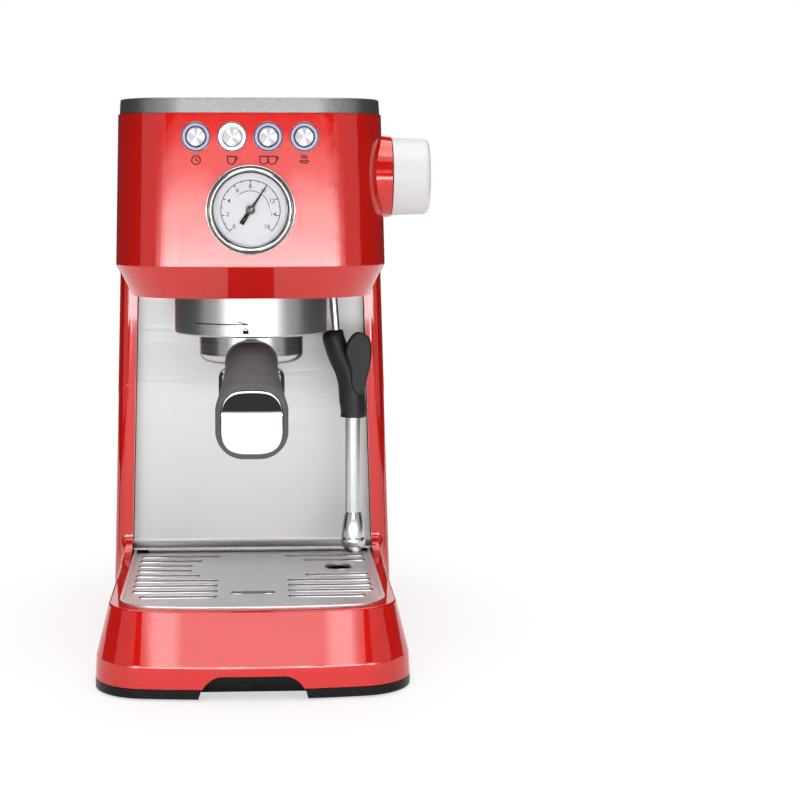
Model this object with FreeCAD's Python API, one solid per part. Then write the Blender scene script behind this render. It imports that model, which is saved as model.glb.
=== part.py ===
# Compact pump espresso machine with a pressure gauge, a steam wand and a pull-out drip tray.
# Millimetres. +Z is up, +X is to the operator's right and -Y faces the operator.
# The origin is the middle of the base, on the counter.
import FreeCAD, Part
import os
from math import cos, pi, radians, sin, sqrt, tan

from FreeCAD import Placement, Rotation, Vector

# Clearances, and how far a cutter runs past the face it opens
seat_gap = 0.3
slide_gap = 0.3
pin_gap = 0.06
skin_gap = 0.1
over = 1.0

# Base
base_half_width = 85.5
base_front = -166.0
base_back = 166.0
base_corner = 30.0
base_back_corner = 22.0
front_bow = 420.0
foot_proud = 1.0
foot_radius = 9.0
foot_seat = 2.0
foot_inset = 23.5
foot_from_front = 32.0
foot_from_back = 40.0
plate_thickness = 5.0
band_height = 12.0
band_draft = 0.7
slope_height = 28.5
slope_inset = 7.1
slope_front_inset = 9.2
wall = 2.2
edge_round = 1.2
crease_round = 5.0
seam_from_column = 26.0

# Screws
screw_radius = 1.6
screw_head_radius = 3.5
screw_head_height = 1.9
screw_recess = 2.2
screw_reach = 12.0
screw_boss_radius = 5.0
screw_front_set = 64.0
screw_back_set = 18.0

# Column
column_front = -8.0
column_back = 88.0
column_lean = 0.0325
column_nose = 8.0
pillar_width = 10.8
pillar_foot = 12.0
pillar_gap_rise = 12.0
pillar_stub = 40.0
roof_z = 307.0

# Head
head_front = -154.5
head_lap = 12.0
head_height = 96.0
chamfer_height = 17.0
chamfer_front = 9.0
chamfer_side = 7.7
head_corner = 38.0
head_inset_low = 13.3
head_inset_top = 15.6
head_wall = 2.0
front_reach = 8.0

# Top cover and cup plate
cover_height = 8.0
cover_inset = 0.8
cover_gap = 0.2
cover_draft = 0.5
cover_round = 1.0
cover_rim = 5.0
cover_floor = 2.0
cover_back_corner = 6.0
cup_plate_thickness = 1.2
cup_slot_width = 4.0
cup_slot_pitch = 12.0
cup_slot_inner = 8.0
cup_slot_edge = 17.9
cup_slot_front = 34.0
cup_slot_back = 26.0

# Splash panel and rear panel
panel_set = 11.0
panel_thickness = 1.2
panel_fold = 6.0
panel_foot_gap = 0.8
rear_panel_thickness = 2.0
rear_panel_set = 0.5
vent_rows = 8
vent_pitch = 9.0
vent_height = 3.5
vent_half = 34.0
vent_drop = 107.0

# Drip tray
tray_side = 13.0
tray_from_front = 16.0
tray_lap = 6.0
tray_corner = 21.0
tray_floor_rise = 10.0
tray_wall = 2.0
tray_flange = 2.6
flange_thickness = 1.4
grid_thickness = 1.2
grid_rim = 1.6
grid_lip = 1.6
slot_from_front = 31.0
slot_from_back = 12.0
slot_pitch = 13.1
slot_width = 4.8
slot_edge = 5.5
slot_edge_front = 10.5
slot_inner = 20.0
cup_row = 5.5
cup_clear_radius = 36.5
finger_slot_half = 9.0
finger_slot_radius = 3.0
finger_slot_set = 9.17
float_hole_radius = 7.8
float_inset = 22.0
float_from_back = 44.0
float_drop = 6.0
float_round = 1.5
float_guide_height = 9.0
float_guide_gap = 0.6
float_guide_wall = 1.2
runner_inset = 20.5
runner_width = 8.0
runner_from_front = 12.0
runner_from_back = 6.0

# Finger notch under the front
notch_half = 29.0
notch_slant = 1.5
notch_depth = 15.0
arch_half = 27.5
arch_flat = 17.5
arch_height = 7.2
guard_thickness = 2.0

# Brew group, from the bowl outwards
bowl_radius = 29.3
bowl_wall = 2.1
lug_room = 2.3
lug_depth = 4.0
collar_room = 1.2
collar_wall = 6.2
collar_height = 23.6
collar_round = 1.0
flange_height = 3.0
lug_height = 5.0
lug_angle = 32.0
slot_angle = 40.0
open_angle = 45.0
group_reach = 82.5
group_gap = 0.4
group_rise = 15.0
group_flange = 4.0
group_flange_width = 5.6
gasket_height = 6.5
gasket_rim = 3.4
gasket_proud = 1.05
screen_room = 1.7
screen_thickness = 0.8
screen_hole = 0.9
screen_circles = [10.0, 15.5, 21.0]
screen_counts = [8, 13, 18]
screen_head_radius = 4.0
screen_head_height = 1.75
screen_head_gap = 0.05
water_offset = 9.0

# Portafilter
bowl_height = 26.0
bowl_floor = 3.0
bowl_round = 5.0
bowl_above_lugs = 1.3
basket_lip = 0.85
basket_wall = 0.6
basket_lift = 1.4
basket_hole = 0.7
basket_circles = [7.0, 13.0, 19.0]
basket_counts = [9, 16, 22]
spring_wire = 1.0
spring_drop = 12.0
spring_angle = 300.0
spring_preload = 0.25
spring_groove = 0.9
spring_groove_half = 0.8
neck_rise = 6.6
neck_pin = 3.0
neck_pin_lap = 3.0
neck_pin_gap = 0.4
neck_stud = 5.0
neck_depth = 42.0
neck_radius = 8.5
neck_lap = 3.0
neck_rim = 0.6
neck_rim_depth = 3.2
neck_rim_round = 1.0
spout_stud = 4.0
spout_drop = 10.0
spout_spread = 12.5
spout_radius = 6.4
spout_bore = 3.4
spout_hub = 2.0
spout_length = 28.0
spout_tip = 4.0
spout_tip_taper = 1.6
handle_gap = 10.7
handle_length = 114.0
handle_start_drop = 0.4
handle_fall = 13.8
handle_width = 35.8
handle_height = 37.6
handle_corner = 14.0
handle_round = 2.5
handle_back_round = 2.5
handle_slim = 0.77
handle_swell = 1.6
handle_steps = 6
badge_width = 29.8
badge_height = 30.7
badge_corner = 11.5
badge_proud = 0.6
badge_depth = 2.0
badge_round = 0.54

# Gauge
gauge_drop = 49.5
bezel_radius = 23.1
bezel_depth = 4.6
bezel_lap = 2.1
case_wall = 0.8
case_depth = 26.0
case_floor = 1.5
case_stub_radius = 5.0
case_stub_length = 8.0
case_boss_radius = 4.0
case_boss_drop = 2.5
dial_lap = 1.3
dial_set = 1.1
dial_thickness = 0.8
dial_eye = 0.4
needle_short = 5.6
needle_tail = 8.9
needle_half_tip = 0.35
needle_half_hub = 1.1
needle_half_tail = 0.9
needle_thickness = 0.5
needle_angle = 33.75
needle_lift = 0.4
hub_radius = 2.3
hub_height = 1.2
lens_thickness = 1.0
lens_room = 0.2
spindle_radius = 0.8
spindle_depth = 10.0
spindle_room = 2.0

# Steps of the bezel's rim
bezel_wall_height = 2.3
bezel_step_height = 3.22
bezel_shelf_height = 3.5
bezel_step = 0.8
bezel_shelf = 2.2
bezel_crown = 2.8
bezel_lip = 0.5

# Buttons
button_count = 4
lit_button = 1
button_pitch = 18.55
button_drop = 12.1
button_cap_radius = 4.85
button_cap_depth = 3.0
button_round = 0.4
button_stem = 2.0
button_travel = 1.5
stem_gap = 0.2
cap_proud = 1.3
ring_width = 1.7
ring_proud = 0.7
button_bezel_width = 0.5
button_bezel_proud = 0.2
board_depth = 13.0
board_thickness = 1.6
board_half_height = 9.0
board_edge = 4.0
switch_reach = 5.2
switch_half = 3.0
switch_stem = 1.6
switch_stem_length = 1.2

# Steam knob and valve
knob_from_front = 44.5
knob_drop = 32.5
knob_radius = 20.8
knob_taper = 0.7
knob_length = 20.0
knob_round = 3.0
knob_face = 6.0
knob_gap = 0.6
boss_radius = 23.6
boss_taper = 2.0
boss_proud = 5.5
boss_depth = 16.0
boss_hollow = 20.0
shaft_radius = 3.0
shaft_room = 1.0
shaft_reach = 25.4
shaft_cone = 6.0
shaft_tip_radius = 0.6
shaft_end_gap = 0.5
valve_radius = 9.0
valve_flange = 6.0
valve_flange_thickness = 4.0
valve_length = 39.4
valve_port_set = 31.4
valve_port_radius = 5.0
valve_port_length = 4.0
valve_bore = 1.2

# Steam wand
wand_from_front = 106.5
ball_rise = 2.0
ball_radius = 6.5
socket_radius = 9.2
socket_step = 1.3
socket_gap = 0.4
socket_drop = 5.0
socket_roof = 4.0
socket_mouth = 6.9
steam_tube_radius = 2.4
steam_tube_wall = 1.0
tube_lean = 4.5
tube_length = 40.0
tube_socket = 2.0
wand_offset = 12.3
grip_radius = 7.6
grip_start = 27.0
grip_reach = 77.7
grip_lap = 2.0
nozzle_radius = 4.6
nozzle_depth = 20.0
nozzle_bore = 1.6
nozzle_swell = 0.5
wand_clearance = 8.0
bulb_radius = 6.85
bulb_wide_rise = 9.5
bulb_top_rise = 24.5
tip_radius = 2.77
tip_side_radius = 5.54
tip_side_rise = 2.2
tab_thickness = 5.0
tab_height = 36.6
tab_width = 15.0
tab_round = 1.4
tab_offset = 2.6
tab_drop = 46.15
tab_forward = 5.6

# Water tank
tank_inset = 11.5
tank_gap = 1.2
tank_from_back = 2.5
tank_drop = 11.0
tank_corner = 24.0
tank_front_corner = 6.0
tank_wall = 2.4
lid_thickness = 5.0
lid_round = 1.2
lid_pin_radius = 1.5
lid_barrel_radius = 3.6
lid_barrel_inset = 20.0
lid_ear_width = 6.0
lid_ear_height = 12.0
lid_cut_back = 0.4
lid_room = 0.6
hinge_set = 0.5
hinge_rise = 0.8
lid_grip_half = 16.0
lid_grip_from_back = 14.0
lid_grip_width = 5.0
lid_grip_height = 3.0
valve_set = 37.8
valve_tail = 8.0
valve_tail_drop = 5.0
valve_head = 4.0
valve_head_height = 3.0
valve_stem_radius = 5.0
valve_stem_height = 11.0
valve_way = 2.2
seat_radius = 16.0
seat_depth = 9.0
seat_floor = 2.5
nipple_radius = 2.5
nipple_length = 6.0
nipple_bore = 1.4

# Inner works
sheet = 1.5
frame_edge = 4.0
frame_drop = 6.0
frame_foot = 34.0
hose_radius = 3.5
hose_bend = 9.0
hose_drop = 12.2
hose_loop = 26.0
hose_loop_bend = 12.0
pipe_radius = 2.5
pipe_bend = 10.0
steam_pipe_bend = 7.0
steam_pipe_rise = 32.0
thin_pipe_radius = 1.5
thin_pipe_bend = 4.0
heater_right = -3.0
heater_width = 61.0
heater_depth = 44.0
heater_height = 100.0
heater_rise = 11.0
heater_round = 4.0
port_radius = 4.0
port_height = 7.0
heater_port_places = [(7.0, 22.0), (31.0, 14.0), (49.0, 34.0)]
pump_x = 33.0
pump_set = 36.0
pump_rise = 15.5
pump_coil = 44.0
pump_coil_low = 34.0
pump_coil_height = 58.0
pump_barrel_radius = 15.0
pump_barrel_low = 8.0
pump_barrel_height = 110.0
pump_inlet_radius = 4.0
pump_outlet_radius = 6.0
pump_outlet_length = 10.0
pump_mount_half = 9.0
pump_mount_height = 12.0
pump_mount_low = 38.0
pump_mount_high = 76.0
solenoid_half = 16.0
solenoid_height = 24.0
solenoid_coil_radius = 13.0
solenoid_coil_height = 20.0
solenoid_tip_radius = 5.0
solenoid_tip_height = 4.0
solenoid_port = 16.0
control_left = -64.0
control_width = 60.0
control_rise = 13.5
control_height = 56.0
control_thickness = 1.6
control_post = 8.0
control_post_radius = 3.0
control_post_inset = 5.0
transformer_inset = 6.0
transformer_width = 28.0
transformer_low = 12.0
transformer_height = 24.0
transformer_depth = 24.0
relay_width = 12.0
relay_depth = 17.0
relay_drop = 20.0
relay_height = 16.0
relay_count = 3
relay_first = 8.0
relay_pitch = 16.0
capacitor_radius = 6.0
capacitor_inset = 12.0
capacitor_low = 24.0
capacitor_depth = 22.0
gland_inset = 35.5
gland_rise = 22.0
gland_radius = 7.0
gland_inside = 13.0
gland_outside = 4.0
gland_nut = 2.5
gland_nut_length = 4.0
gland_collar = 2.0
gland_collar_length = 3.0
gland_hole_depth = 8.0
cord_radius = 3.6

# Worked-out levels
plate_top = foot_proud + plate_thickness
crease_z = plate_top + band_height
deck_z = crease_z + slope_height
tray_floor_z = plate_top + tray_floor_rise
grid_low = deck_z - wall
cover_low = roof_z + cover_gap
cover_top = roof_z + cover_height
head_underside = roof_z - head_height
head_crease_z = head_underside + chamfer_height
gauge_z = roof_z - gauge_drop
button_z = roof_z - button_drop
knob_z = roof_z - knob_drop
collar_bottom = head_underside - collar_height
flange_top = collar_bottom + flange_height
lug_bottom = flange_top + slide_gap
bowl_top = lug_bottom + lug_height + bowl_above_lugs
bowl_bottom = bowl_top - bowl_height
basket_top = bowl_top + basket_lip
gasket_bottom = basket_top + slide_gap
group_bottom = gasket_bottom + gasket_proud
group_top = head_underside + group_rise
group_shelf = head_underside + head_wall
screen_low = group_bottom - seat_gap - screen_thickness
neck_z = bowl_bottom + neck_rise
spout_z = bowl_bottom - spout_drop
spout_end_z = bowl_bottom - spout_length
handle_start_z = bowl_bottom - handle_start_drop
handle_end_z = handle_start_z - handle_fall
ball_z = head_underside + ball_rise
socket_top = ball_z + ball_radius + socket_roof
grip_bottom_z = ball_z - grip_reach
tab_z = ball_z - tab_drop
nozzle_end_z = deck_z + wand_clearance
bulb_wide_z = nozzle_end_z + bulb_wide_rise
bulb_top_z = nozzle_end_z + bulb_top_rise
tank_low = deck_z + seat_gap
tank_top_z = roof_z - tank_drop
seat_low = deck_z - seat_depth
frame_top = head_underside - frame_drop
heater_top = head_underside + heater_rise
port_top = heater_top + port_height + seat_gap
pump_z = deck_z + pump_rise
pump_top = pump_z + pump_barrel_low + pump_barrel_height + pump_outlet_length
gland_z = plate_top + gland_rise

# Worked-out places
base_seam = column_front - seam_from_column
head_back = column_front + head_lap
panel_front = column_front + panel_set
panel_back = panel_front + panel_thickness
frame_back = panel_back + sheet + seat_gap
tray_front = base_front + tray_from_front
tray_back = column_front + tray_lap
tray_half_width = base_half_width - tray_side
slot_front = tray_front + slot_from_front
float_x = tray_half_width - float_inset
float_y = tray_back - float_from_back
head_half_low = base_half_width - head_inset_low
head_half_top = base_half_width - head_inset_top
group_y = head_front + group_reach
knob_y = head_front + knob_from_front
wand_y = head_front + wand_from_front
boss_face_x = head_half_top + boss_proud
knob_inner_x = boss_face_x + knob_gap
knob_outer_x = knob_inner_x + knob_length
shaft_tip_x = boss_face_x - shaft_reach
valve_end_x = boss_face_x - valve_length
valve_port_x = boss_face_x - valve_port_set
handle_start_y = group_y - bowl_radius - handle_gap
handle_end_y = handle_start_y - handle_length
handle_lean = handle_fall / handle_length
tank_half_width = base_half_width - tank_inset
tank_front = column_back + tank_gap
tank_back = base_back - tank_from_back
lid_barrel_half = tank_half_width - lid_barrel_inset
valve_y = tank_front + valve_set
pump_y = frame_back + pump_set
gland_x = gland_inset - base_half_width
rear_panel_back = column_back - rear_panel_set
rear_panel_front = rear_panel_back - rear_panel_thickness

# Worked-out radii, each from the piece inside it
bowl_bore = bowl_radius - bowl_wall
lug_bore = bowl_radius + lug_room
lug_reach = lug_bore + lug_depth
collar_bore = lug_reach + collar_room
collar_radius = collar_bore + collar_wall
group_radius = collar_bore - group_gap
group_flange_radius = group_radius + group_flange_width
gasket_outer = group_radius - gasket_rim
gasket_inner = bowl_bore - seat_gap
screen_radius = gasket_inner - screen_room
case_radius = bezel_radius - bezel_lap
dial_radius = case_radius - case_wall
bezel_bore = dial_radius - dial_lap
needle_length = dial_radius - needle_short
ring_inner = button_cap_radius + slide_gap
ring_outer = ring_inner + ring_width
button_bezel_radius = ring_outer + button_bezel_width

# The wand hangs beside the collar, as near as its socket allows
ball_x = sqrt((collar_radius + socket_radius + socket_gap) ** 2 - (wand_y - group_y) ** 2)
wand_x = ball_x + wand_offset
tab_x = wand_x + tab_offset


def column_half(z):
    """Half the column's width at a height: its side walls lean in."""
    return base_half_width - band_draft - column_lean * (z - crease_z)


def pillar_inner(z):
    return column_half(z) - pillar_width


def front_surface(x):
    """Y of the head's bowed front face at an offset from the middle."""
    return head_front + front_bow - sqrt(front_bow ** 2 - x ** 2)


# Plain solids

def box(x0, x1, y0, y1, z0, z1):
    return Part.makeBox(x1 - x0, y1 - y0, z1 - z0, Vector(x0, y0, z0))


def rod(radius, start, end):
    start, end = Vector(*start), Vector(*end)
    return Part.makeCylinder(radius, (end - start).Length, start, end - start)


def ring(outer, inner, start, end):
    start, end = Vector(*start), Vector(*end)
    reach = (end - start).normalize() * over
    return rod(outer, start, end).cut(rod(inner, start - reach, end + reach))


def cone(radius_start, radius_end, start, end):
    start, end = Vector(*start), Vector(*end)
    return Part.makeCone(radius_start, radius_end, (end - start).Length, start, end - start)


def turned(profile, centre, axis=Vector(0, 0, 1)):
    """Solid of revolution: profile holds (radius, height) corners, and may start and end on the axis."""
    points = [Vector(r, 0, h) for r, h in profile]
    face = Part.Face(Part.makePolygon(points + points[:1]))
    solid = face.revolve(Vector(), Vector(0, 0, 1), 360)
    solid.Placement = Placement(Vector(*centre), Rotation(Vector(0, 0, 1), axis))
    return solid


def prism(outline, direction):
    """Extrude a flat outline of points or edges."""
    edges = outline
    if isinstance(outline[0], Vector):
        edges = Part.makePolygon(outline + outline[:1]).Edges
    return Part.Face(Part.Wire(edges)).extrude(direction)


def face_prism(wire, height):
    return Part.Face(wire).extrude(Vector(0, 0, height))


def long_slot(x0, x1, y, half, z0, z1):
    """Cutter for a slot along X whose round ends are centred on x0 and x1."""
    ends = [rod(half, (x, y, z0), (x, y, z1)) for x in (x0, x1)]
    return [box(x0, x1, y - half, y + half, z0, z1)] + ends


def tapered_wall(inner, outer, y0, y1, z0, z1):
    """Block between two leaning planes, given as functions of height, on the +X side."""
    wires = []
    for z in (z0, z1):
        near, far = inner(z), outer(z)
        corners = [Vector(near, y0, z), Vector(far, y0, z), Vector(far, y1, z), Vector(near, y1, z)]
        wires.append(Part.makePolygon(corners + corners[:1]))
    return loft(wires)


def middle_wall(outer, y0, y1, z0, z1):
    """Block across the middle between leaning planes at plus and minus outer(z)."""
    return both_sides(tapered_wall(lambda z: -over, outer, y0, y1, z0, z1)).removeSplitter()


def mirrored(shape):
    return shape.mirror(Vector(), Vector(1, 0, 0))


def both_sides(shape):
    return shape.fuse(mirrored(shape))


def fused(shapes):
    whole = shapes[0]
    if len(shapes) > 1:
        whole = whole.fuse(shapes[1:])
    return whole.removeSplitter()


def rounded(shape, radius, chosen):
    """Fillet the edges that a test picks."""
    return shape.makeFillet(radius, [e for e in shape.Edges if chosen(e)])


# How closely an edge has to lie on a plane to be picked
edge_near = 0.05


def level_edges(z):
    """Test for edges that lie wholly at one height."""
    return lambda e: abs(e.BoundBox.ZMin - z) < edge_near and abs(e.BoundBox.ZMax - z) < edge_near


def pipe(points, radius, bend):
    """Tube along straight runs joined by tangent arcs of one bend radius."""
    points = [Vector(*p) for p in points]
    edges, start = [], points[0]
    for before, corner, after in zip(points, points[1:], points[2:]):
        into, out = (corner - before).normalize(), (after - corner).normalize()
        reach = bend * tan(into.getAngle(out) / 2)
        first, last = corner - into * reach, corner + out * reach
        inward = (out - into).normalize()
        middle = corner + inward * (sqrt(bend ** 2 + reach ** 2) - bend)
        edges += [Part.LineSegment(start, first).toShape(), Part.Arc(first, middle, last).toShape()]
        start = last
    edges.append(Part.LineSegment(start, points[-1]).toShape())
    profile = Part.Wire(Part.makeCircle(radius, points[0], points[1] - points[0]))
    return Part.Wire(edges).makePipeShell([profile], True, False)


# Outlines

def plan(half_front, half_back, y_front, y_flare, y_back, corner, back_corner, z):
    """Closed plan outline: bowed front, tangent corners, sides that flare to y_flare, then run straight."""
    flare = (half_back - half_front) / (y_flare - y_front - corner)
    slant = sqrt(1 + flare ** 2)
    reach = front_bow - corner
    offset = half_front + reach * flare - corner * slant
    root = sqrt((offset * flare) ** 2 - slant ** 2 * (offset ** 2 - reach ** 2))
    drop = (-offset * flare - root) / slant ** 2
    centre = Vector(offset + drop * flare, y_front + front_bow + drop, z)
    toward_front = Vector(centre.x, drop, 0).normalize()
    toward_side = Vector(1, -flare, 0).normalize()
    bow_end = Vector(0, y_front + front_bow, z) + toward_front * front_bow
    side_start = centre + toward_side * corner
    corner_middle = centre + (toward_front + toward_side).normalize() * corner
    right = [Part.Arc(bow_end, corner_middle, side_start).toShape()]
    at = side_start
    if y_flare < y_back - back_corner:
        turn = Vector(half_back, y_flare, z)
        right.append(Part.LineSegment(at, turn).toShape())
        at = turn
    side_end = Vector(half_back, y_back - back_corner, z)
    right.append(Part.LineSegment(at, side_end).toShape())
    back_end = side_end
    if back_corner > 0:
        back_end = Vector(half_back - back_corner, y_back, z)
        centre = Vector(half_back - back_corner, y_back - back_corner, z)
        middle = centre + Vector(1, 1, 0).normalize() * back_corner
        right.append(Part.Arc(side_end, middle, back_end).toShape())
    left = [mirrored(edge) for edge in right]
    bow = Part.Arc(Vector(-bow_end.x, bow_end.y, z), Vector(0, y_front, z), bow_end).toShape()
    back = Part.LineSegment(back_end, Vector(-back_end.x, back_end.y, z)).toShape()
    return Part.Wire(Part.__sortEdges__([bow] + right + [back] + left))


def loft(wires):
    return Part.makeLoft(wires, True, True)


def base_plan(inset, front_inset, z):
    """Outline of the base at a height, drawn in from its foot."""
    half = base_half_width - inset
    back = base_back - inset / 2
    front = base_front + front_inset
    return plan(half, half, front, back, back, base_corner - inset, base_back_corner - inset, z)


def base_solid(skin, z_low):
    """Outer form of the base, or with skin its hollow."""
    low = base_plan(skin, skin, z_low)
    crease = base_plan(band_draft + skin, band_draft + skin, crease_z - skin / 2)
    deck = base_plan(slope_inset + band_draft + skin, slope_front_inset + skin, deck_z - skin)
    return loft([low, crease, deck])


def head_plan(half_front, inset, front, skin, z):
    half_back = column_half(z) - inset - skin
    return plan(half_front - skin, half_back, front + skin, head_back, head_back, head_corner - skin, 0, z)


def tray_plan(gap, z):
    """Outline of what lies in the drip tray's opening, drawn in by a gap."""
    half = tray_half_width - gap
    return plan(half, half, tray_front + gap, tray_back, tray_back, tray_corner - gap, 0, z)


def cover_plan(inset, z):
    half = head_half_top - cover_inset - inset
    back = column_half(roof_z) - cover_inset - inset
    front = head_front + cover_inset + inset
    corner = head_corner - cover_inset - inset
    return plan(half, back, front, head_back, column_back - inset, corner, cover_back_corner - inset / 2, z)


# Housing

def head_form(skin):
    """Outer form of the head, or with skin its hollow, open above and behind."""
    front_low = head_front + chamfer_front
    half_low = head_half_low - chamfer_side
    return loft([
        head_plan(half_low, chamfer_side, front_low, skin, head_underside + skin),
        head_plan(head_half_low, 0, head_front, skin, head_crease_z + skin / 2),
        head_plan(head_half_top, 0, head_front, skin, roof_z + skin),
    ])


def through_floor(radius, x, y):
    """Cutter through the head's floor."""
    return rod(radius, (x, y, head_underside - over), (x, y, group_shelf + over))


def through_front(radius, x, z):
    """Cutter through the head's bowed front."""
    y = front_surface(x)
    return rod(radius, (x, y - front_reach, z), (x, y + front_reach, z))


def head_shell():
    is_front = lambda e: e.BoundBox.YMin < head_back - over
    outer = rounded(head_form(0), edge_round, lambda e: level_edges(head_crease_z)(e) and is_front(e))
    boss_root, boss_end = at_knob(boss_face_x - boss_depth), at_knob(boss_face_x)
    boss_small = boss_radius - boss_taper
    boss = cone(boss_radius, boss_small, boss_root, boss_end)
    shell = outer.fuse(boss).cut(head_form(head_wall))
    shell = shell.cut(box(-head_half_low, head_half_low, head_back - 2 * head_wall, head_back + over,
                          group_shelf, roof_z + over))
    hollow_end = at_knob(boss_face_x - head_wall)
    shell = shell.cut(rod(boss_small - head_wall, at_knob(boss_face_x - boss_hollow), hollow_end))
    shell = shell.cut(rod(shaft_radius + shaft_room, boss_root, at_knob(boss_face_x + over)))
    shell = shell.cut(through_front(case_radius + seat_gap, 0, gauge_z))
    for x in button_places():
        shell = shell.cut(through_front(ring_outer + skin_gap, x, button_z))
    shell = shell.cut(through_floor(group_radius + seat_gap, 0, group_y))
    return shell.cut(through_floor(socket_radius - socket_step, ball_x, wand_y)).removeSplitter()


def button_places():
    return [(i - (button_count - 1) / 2) * button_pitch for i in range(button_count)]


def column_solid(skin, y0, y1, z0, z1):
    """The leaning column, drawn in at its sides by skin."""
    return middle_wall(lambda z: column_half(z) - skin, y0, y1, z0, z1)


def is_nose_edge(edge):
    """The two leaning edges at the front of the column."""
    span = edge.BoundBox
    at_front = abs(span.YMin - column_front) < edge_near and abs(span.YMax - column_front) < edge_near
    return at_front and span.ZLength > pillar_foot


def is_foot_edge(edge):
    """Edges where a pillar's front lands on the base, not those of the opening between the pillars."""
    span = edge.BoundBox
    low = span.ZMin > crease_z - over and span.ZMax < deck_z + over / 2
    near = span.YMin > column_front - edge_near and span.YMax < column_front + column_nose + over
    upright = span.ZLength > over and span.XLength < over
    return low and near and not upright


def pillared_column(z0, z1, gap_z0):
    """Length of the column with rounded front edges, opened between the pillars from gap_z0 up."""
    column = rounded(column_solid(0, column_front, column_back, z0, z1), column_nose, is_nose_edge)
    return column.cut(middle_wall(pillar_inner, base_seam + over, panel_back + sheet, gap_z0, z1 + over))


def main_housing():
    inner_y = panel_back + sheet
    gap_z = crease_z + pillar_gap_rise
    stub_z = deck_z + pillar_stub
    rear = box(-base_half_width, base_half_width, base_seam, base_back + over, plate_top, deck_z + over)
    base = base_solid(0, plate_top).common(rear)
    base = base.cut(middle_wall(pillar_inner, base_seam + over, inner_y, gap_z, deck_z + over))
    # The column's low end with its swept feet, then the rest of it, then the head's own place
    body = rounded(base.fuse(pillared_column(crease_z, stub_z, gap_z)), pillar_foot, is_foot_edge)
    body = body.fuse(pillared_column(stub_z, roof_z, stub_z - over))
    body = body.cut(head_form(-skin_gap))
    body = body.cut(box(-base_half_width, base_half_width, column_front - over, head_back + skin_gap,
                        head_crease_z, roof_z + over))
    # Hollows of the base, the column and the two pillars
    body = body.cut(base_solid(wall, plate_top - over))
    body = body.cut(column_solid(wall, inner_y, column_back + over, deck_z - wall - over, roof_z + over))
    hollow = tapered_wall(lambda z: pillar_inner(z) + wall, lambda z: column_half(z) - wall,
                          column_front + wall, inner_y + over, deck_z + wall, roof_z + over)
    body = body.cut(both_sides(hollow))
    # The bay that the drip tray slides into
    bay_half = tray_half_width
    body = body.cut(box(-bay_half, bay_half, base_seam - over, inner_y, crease_z, deck_z + over))
    for x, y in screw_places():
        body = body.fuse(rod(screw_boss_radius, (x, y, plate_top), (x, y, deck_z - wall / 2)))
        pilot_end = (x, y, plate_top + screw_reach + over)
        body = body.cut(rod(screw_radius + skin_gap, (x, y, plate_top - over), pilot_end))
    body = body.cut(rod(seat_radius + seat_gap, at_valve(deck_z - wall - over), at_valve(deck_z + over)))
    gland = rod(gland_radius + pin_gap, at_gland(base_back - gland_hole_depth), at_gland(base_back + over))
    return body.cut(gland).removeSplitter()


def screw_places():
    x = base_half_width - foot_inset
    ends = [base_back - screw_front_set, base_back - screw_back_set]
    return [(side * x, y) for side in (-1, 1) for y in ends]


def foot_places():
    x = base_half_width - foot_inset
    ends = [base_front + foot_from_front, base_back - foot_from_back]
    return [(side * x, y) for side in (-1, 1) for y in ends]


def bottom_plate():
    plate = face_prism(base_plan(0, 0, foot_proud), plate_thickness)
    plate = plate.cut(notch_prism())
    for x, y in screw_places():
        plate = plate.cut(rod(screw_radius + seat_gap, (x, y, 0), (x, y, plate_top + over)))
        plate = plate.cut(rod(screw_head_radius + seat_gap, (x, y, 0), (x, y, foot_proud + screw_recess)))
    for x, y in foot_places():
        plate = plate.cut(rod(foot_radius + seat_gap, (x, y, 0), (x, y, foot_proud + foot_seat)))
    x = tray_half_width - runner_inset
    runner = box(x - runner_width / 2, x + runner_width / 2, tray_front + runner_from_front,
                 tray_back - runner_from_back, plate_top, tray_floor_z - slide_gap)
    guard_front = base_front + notch_depth
    guard_half = arch_half + guard_thickness
    guard = box(-guard_half, guard_half, guard_front, guard_front + guard_thickness, plate_top,
                plate_top + arch_height + over)
    return fused([plate, runner, mirrored(runner), guard])


def notch_prism():
    """Finger recess through the plate's front edge, with slanted ends."""
    y = base_front - over
    top = notch_half - notch_slant
    corners = [Vector(-notch_half, y, foot_proud), Vector(notch_half, y, foot_proud),
               Vector(top, y, plate_top), Vector(-top, y, plate_top)]
    return prism(corners, Vector(0, notch_depth + over, 0))


def rubber_feet():
    top = foot_proud + foot_seat
    return Part.makeCompound([rod(foot_radius, (x, y, 0), (x, y, top)) for x, y in foot_places()])


def splash_panel():
    """Brushed sheet between the pillars, rolled forward at its foot."""
    foot = deck_z + panel_foot_gap
    bend_z = foot + panel_fold
    bend_y = panel_back - panel_fold
    upright = middle_wall(lambda z: pillar_inner(z) - slide_gap, panel_front, panel_back, bend_z,
                          head_underside - slide_gap)
    half = pillar_inner(foot) - slide_gap
    bend = ring(panel_fold, panel_fold - panel_thickness, (-half, bend_y, bend_z), (half, bend_y, bend_z))
    return fused([upright, bend.common(box(-half, half, bend_y, panel_back, foot, bend_z))])


def rear_panel():
    y0, y1 = rear_panel_front, rear_panel_back
    panel = middle_wall(lambda z: column_half(z) - wall - seat_gap, y0, y1, deck_z + seat_gap,
                        roof_z - seat_gap)
    for row in range(vent_rows):
        z = roof_z - vent_drop + row * vent_pitch
        panel = panel.cut(box(-vent_half, vent_half, y0 - over, y1 + over, z, z + vent_height))
    return panel


def top_cover():
    cover = loft([cover_plan(0, cover_low), cover_plan(cover_draft, cover_top)])
    cover = rounded(cover, cover_round, level_edges(cover_top))
    return cover.cut(face_prism(cover_plan(cover_rim, cover_low + cover_floor), cover_height))


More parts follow.
